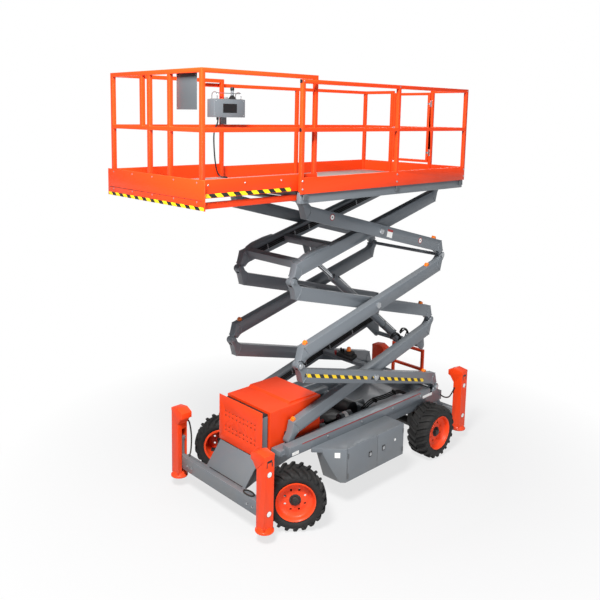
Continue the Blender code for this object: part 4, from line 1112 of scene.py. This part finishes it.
def legFittings():
    # Blank round labels, dark marks, and the bolts, cap and pad welds of each outrigger leg.
    for name, (x, y) in legs.items():
        side = 1 if y > 0 else -1
        face = y + side * leg["half"]
        body = bodyOf("leg_" + name)
        white, red = [], []
        for z in leg["labelZ"]:
            red.append(disc((x, face, z), (0, side, 0), 0.033))
            white.append(disc((x, face + side * 0.0008, z), (0, side, 0), 0.028, 0.0008))
        slot = [block(span(x, leg["marks"]), (face, face + side * 0.001), (0.865, 0.890), 0.0003)]
        for dx in (-leg["marks"], leg["marks"]):
            slot.append(block(span(x + dx, 0.006), (face, face + side * 0.001), (0.82, 0.865), 0.0003))
        bolts = []
        for dx in (-0.04, 0.04):
            bolts += bolt((x + dx, y, leg["top"]), (0, 0, 1), 0.008)
        cap = [rod((x, y, leg["top"]), (x, y, 0.944), 0.026, 24)]
        welds = [pipe([(x + dx, end, leg["padTop"]) for end in span(y, leg["weld"])], 0.004, 6, 2)
                 for dx in (-leg["weld"], leg["weld"])]
        for label, shapes, material in (("Labels", white, whiteVinyl), ("LabelBars", red, redPaint),
                                        ("Marks", slot, black), ("Bolts", bolts, steel),
                                        ("Cap", cap, plastic), ("Welds", welds, orange)):
            build("leg%s_%s" % (label, name), shapes, material, body)


def hoseToLeg(name, points):
    # A hose without a body of its own, for the blend between the chassis and the leg.
    item = build("legHose_" + name, [pipe(points, 0.009, 10, 10)], hoseRubber, "chassis")
    item.parent = None
    return item


def radiatorFins():
    # Fins on both faces of the radiator and a tank on each side of it.
    low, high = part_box("radiator")
    fins = []
    for n in range(46):
        y = low.y + 0.03 + (high.y - low.y - 0.06) * n / 45
        for x in (low.x - 0.0008, high.x + 0.0008):
            fins.append(block(span(x, 0.0006), span(y, 0.0016), (low.z + 0.03, high.z - 0.03), 0.0003))
    tanks = [block((low.x + 0.006, high.x - 0.006), span(y, 0.003), (low.z + 0.02, high.z - 0.02), 0.002)
             for y in (low.y - 0.004, high.y + 0.004)]
    build("radiatorFins", fins, steel, "chassis")
    build("radiatorTanks", tanks, grey, "chassis")


def hoodFittings():
    # Two draw latches on each flank.
    latches = []
    for side in (1, -1):
        y = side * 0.3605
        for x in (0.95, 1.25):
            latches.append(block(span(x, 0.012), (y, y + side * 0.007), (0.80, 0.85), 0.002))
            latches.append(block(span(x, 0.008), (y + side * 0.007, y + side * 0.011), (0.795, 0.835), 0.002))
    build("hoodLatches", latches, plastic, "hood")


def engineBay():
    # Red tank, two filters and a cable bundle that show between the rails, behind the hood.
    build("fireRedTank", [rod((0.579, 0.3, 0.757), (0.794, 0.3, 0.728), 0.020, 24)], redPaint, "chassis")
    canister = [rod((0.10, 0.30, 0.70), (0.30, 0.30, 0.70), 0.052, 32, 0.006),
                rod((0.30, 0.3, 0.70), (0.318, 0.3, 0.70), 0.03, 6),
                rod((-0.36, 0.10, 0.66), (-0.16, 0.10, 0.66), 0.05, 32, 0.006)]
    build("oilFilter", canister, darkGrey, "chassis")
    label = rod((0.18, 0.30, 0.70), (0.24, 0.30, 0.70), 0.0527, 32, 0.0004)
    build("filterLabel", [label], whiteVinyl, "chassis")
    bundle = []
    for n, y in enumerate((0.285, 0.303, 0.320)):
        dip = 0.012 * n
        route = [(-0.12, y, 0.70 - dip), (-0.30, y + 0.006, 0.768 - dip), (-0.55, y, 0.752 - dip),
                 (-0.82, y - 0.006, 0.745 - dip), (-1.02, y, 0.66 - dip), (-1.10, y, 0.575 - dip)]
        bundle.append(pipe(route, 0.0085, 10, 8))
    build("cableBundle", bundle, hoseRubber, "chassis")
    clamps = [block(span(x, 0.012), (0.270, 0.335), (0.722, 0.775), 0.004) for x in (-0.36, -0.75)]
    build("bundleClamps", clamps, plastic, "chassis")


def bumperFittings():
    # Bolts, a black sheet of painted shade for the inside of the bumper's open channel, and a rubber ring on
    # the front bumper.
    x, top = 1.8883, 0.3833
    bolts = []
    for y in (-0.56, -0.48, 0.48, 0.56):
        bolts += bolt((x, y, 0.30), (1, 0, 0), 0.010)
    build("bumperBolts", bolts, steel, "chassis")
    # A thin black sheet on the bumper's flat top: painted shade standing for the shadowed inside of its
    # channel.
    paintedChannelShade = [block((1.803, 1.817), (-0.256, 0.31), (top, top + 0.0008), 0.0003)]
    build("bumperChannelPaintedShade", paintedChannelShade, black, "chassis")
    loop = [(1.843 + 0.034 * math.cos(a), 0.455 + 0.075 * math.sin(a), top + 0.008)
            for a in np.linspace(0, 2 * math.pi, 17)]
    build("bumperRing", [pipe(loop, 0.008, 10, 3)], hoseRubber, "chassis")


railFittings()
cabinetFittings()
legFittings()
radiatorFins()
hoodFittings()
engineBay()
bumperFittings()
frontRoute = [(1.835, 0.60, 0.3835), (1.812, 0.60, 0.46), (1.797, 0.612, 0.62), (1.793, 0.655, 0.76),
              (1.8065, 0.70, 0.80)]
rearRoute = [(-1.36, 0.601, 0.64), (-1.42, 0.625, 0.60), (-1.52, 0.63, 0.58), (-1.575, 0.645, 0.64),
             (-1.595, 0.66, 0.70)]
for name in legs:
    side = 1 if name.endswith("left") else -1
    points = [(x, side * y, z) for x, y, z in (frontRoute if name.startswith("front") else rearRoute)]
    item = hoseToLeg(name, points)
    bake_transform(item, "chassis", bodyOf("leg_" + name), points[0], points[-1])
print("stage: chassis fittings")


# Camera, lights and floor
def lookThrough():
    # Camera solved from the photograph: a place, a level heading, a pitch, a roll and a shift.
    camera = bpy.data.objects.new("camera", bpy.data.cameras.new("camera"))
    bpy.context.scene.collection.objects.link(camera)
    heading = Vector((-0.6800762, -0.73314144, 0))
    pitch, roll = -0.1393, 0.0154
    focal, imageSide = 704.1926, 600
    shiftX, shiftY = -25.0935, -86.3303
    ahead = Vector((heading.x * math.cos(pitch), heading.y * math.cos(pitch), math.sin(pitch)))
    right = ahead.cross(Vector((0, 0, 1))).normalized()
    up = right.cross(ahead)
    tiltedRight = right * math.cos(roll) + up * math.sin(roll)
    tiltedUp = up * math.cos(roll) - right * math.sin(roll)
    basis = Matrix((tiltedRight, tiltedUp, -ahead)).transposed()
    camera.matrix_world = Matrix.Translation((6.3104, 5.6012, 4.2663)) @ basis.to_4x4()
    camera.data.sensor_width = 36
    camera.data.lens = focal * 36 / imageSide
    camera.data.shift_x = -shiftX / imageSide
    camera.data.shift_y = shiftY / imageSide
    bpy.context.scene.camera = camera


def pale():
    # The floor takes the shadow near the machine and melts into plain white further out.
    material, tree, shader = plainMaterial("paleFloor", 0.9)
    shader.inputs["Base Color"].default_value = srgb(186, 186, 188)
    shader.inputs["Specular IOR Level"].default_value = 0.0
    glow = tree.nodes.new("ShaderNodeEmission")
    glow.inputs["Color"].default_value = (1, 1, 1, 1)
    rays = tree.nodes.new("ShaderNodeLightPath")
    coord = ownPlace(tree)
    length = tree.nodes.new("ShaderNodeVectorMath")
    length.operation = "LENGTH"
    tree.links.new(coord, length.inputs[0])
    seen = maths(tree, "MAXIMUM", rays.outputs["Is Camera Ray"], rays.outputs["Is Glossy Ray"])
    fade = maths(tree, "MULTIPLY", ramp(tree, length.outputs["Value"], 2.0, 4.2, 0.74, 1.0), seen)
    mix = tree.nodes.new("ShaderNodeMixShader")
    tree.links.new(fade, mix.inputs[0])
    tree.links.new(shader.outputs[0], mix.inputs[1])
    tree.links.new(glow.outputs[0], mix.inputs[2])
    tree.links.new(mix.outputs[0], tree.nodes["Material Output"].inputs["Surface"])
    return material


def studio():
    mesh = bpy.data.meshes.new("studioFloor")
    side = 40
    corners = [(-side, -side, 0), (side, -side, 0), (side, side, 0), (-side, side, 0)]
    mesh.from_pydata(corners, [], [(0, 1, 2, 3)])
    mesh.materials.append(pale())
    ground = bpy.data.objects.new("studioFloor", mesh)
    ground.location.z = -0.001
    bpy.context.scene.collection.objects.link(ground)
    world = bpy.data.worlds.new("studio")
    bpy.context.scene.world = world
    world.use_nodes = True
    tree = world.node_tree
    back = tree.nodes["Background"]
    back.inputs["Strength"].default_value = 1.0
    rays = tree.nodes.new("ShaderNodeLightPath")
    seen = maths(tree, "MAXIMUM", rays.outputs["Is Camera Ray"], rays.outputs["Is Transmission Ray"])
    shade = mixColour(tree, seen, (0.21, 0.222, 0.238, 1), (1, 1, 1, 1))
    tree.links.new(shade, back.inputs["Color"])
    for name, place, size, power, tint in (
            ("key", (5.2, 2.6, 7.5), 2.2, 1120, (1, 0.985, 0.96)),
            ("fill", (1.0, 9.0, 2.2), 3.5, 210, (0.96, 0.98, 1)),
            ("rim", (-7.0, -4.0, 6.0), 4.0, 130, (1, 1, 1))):
        lamp = bpy.data.lights.new(name, "AREA")
        lamp.shape = "DISK"
        lamp.size = size
        lamp.energy = power
        lamp.color = tint
        item = bpy.data.objects.new(name, lamp)
        item.location = place
        aim = Vector((0.3, 0, 1.8)) - Vector(place)
        item.rotation_euler = aim.to_track_quat("-Z", "Y").to_euler()
        bpy.context.scene.collection.objects.link(item)
    bpy.context.scene.view_settings.view_transform = "Standard"


lookThrough()
studio()
print("stage: camera and studio")

bpy.context.view_layer.update()
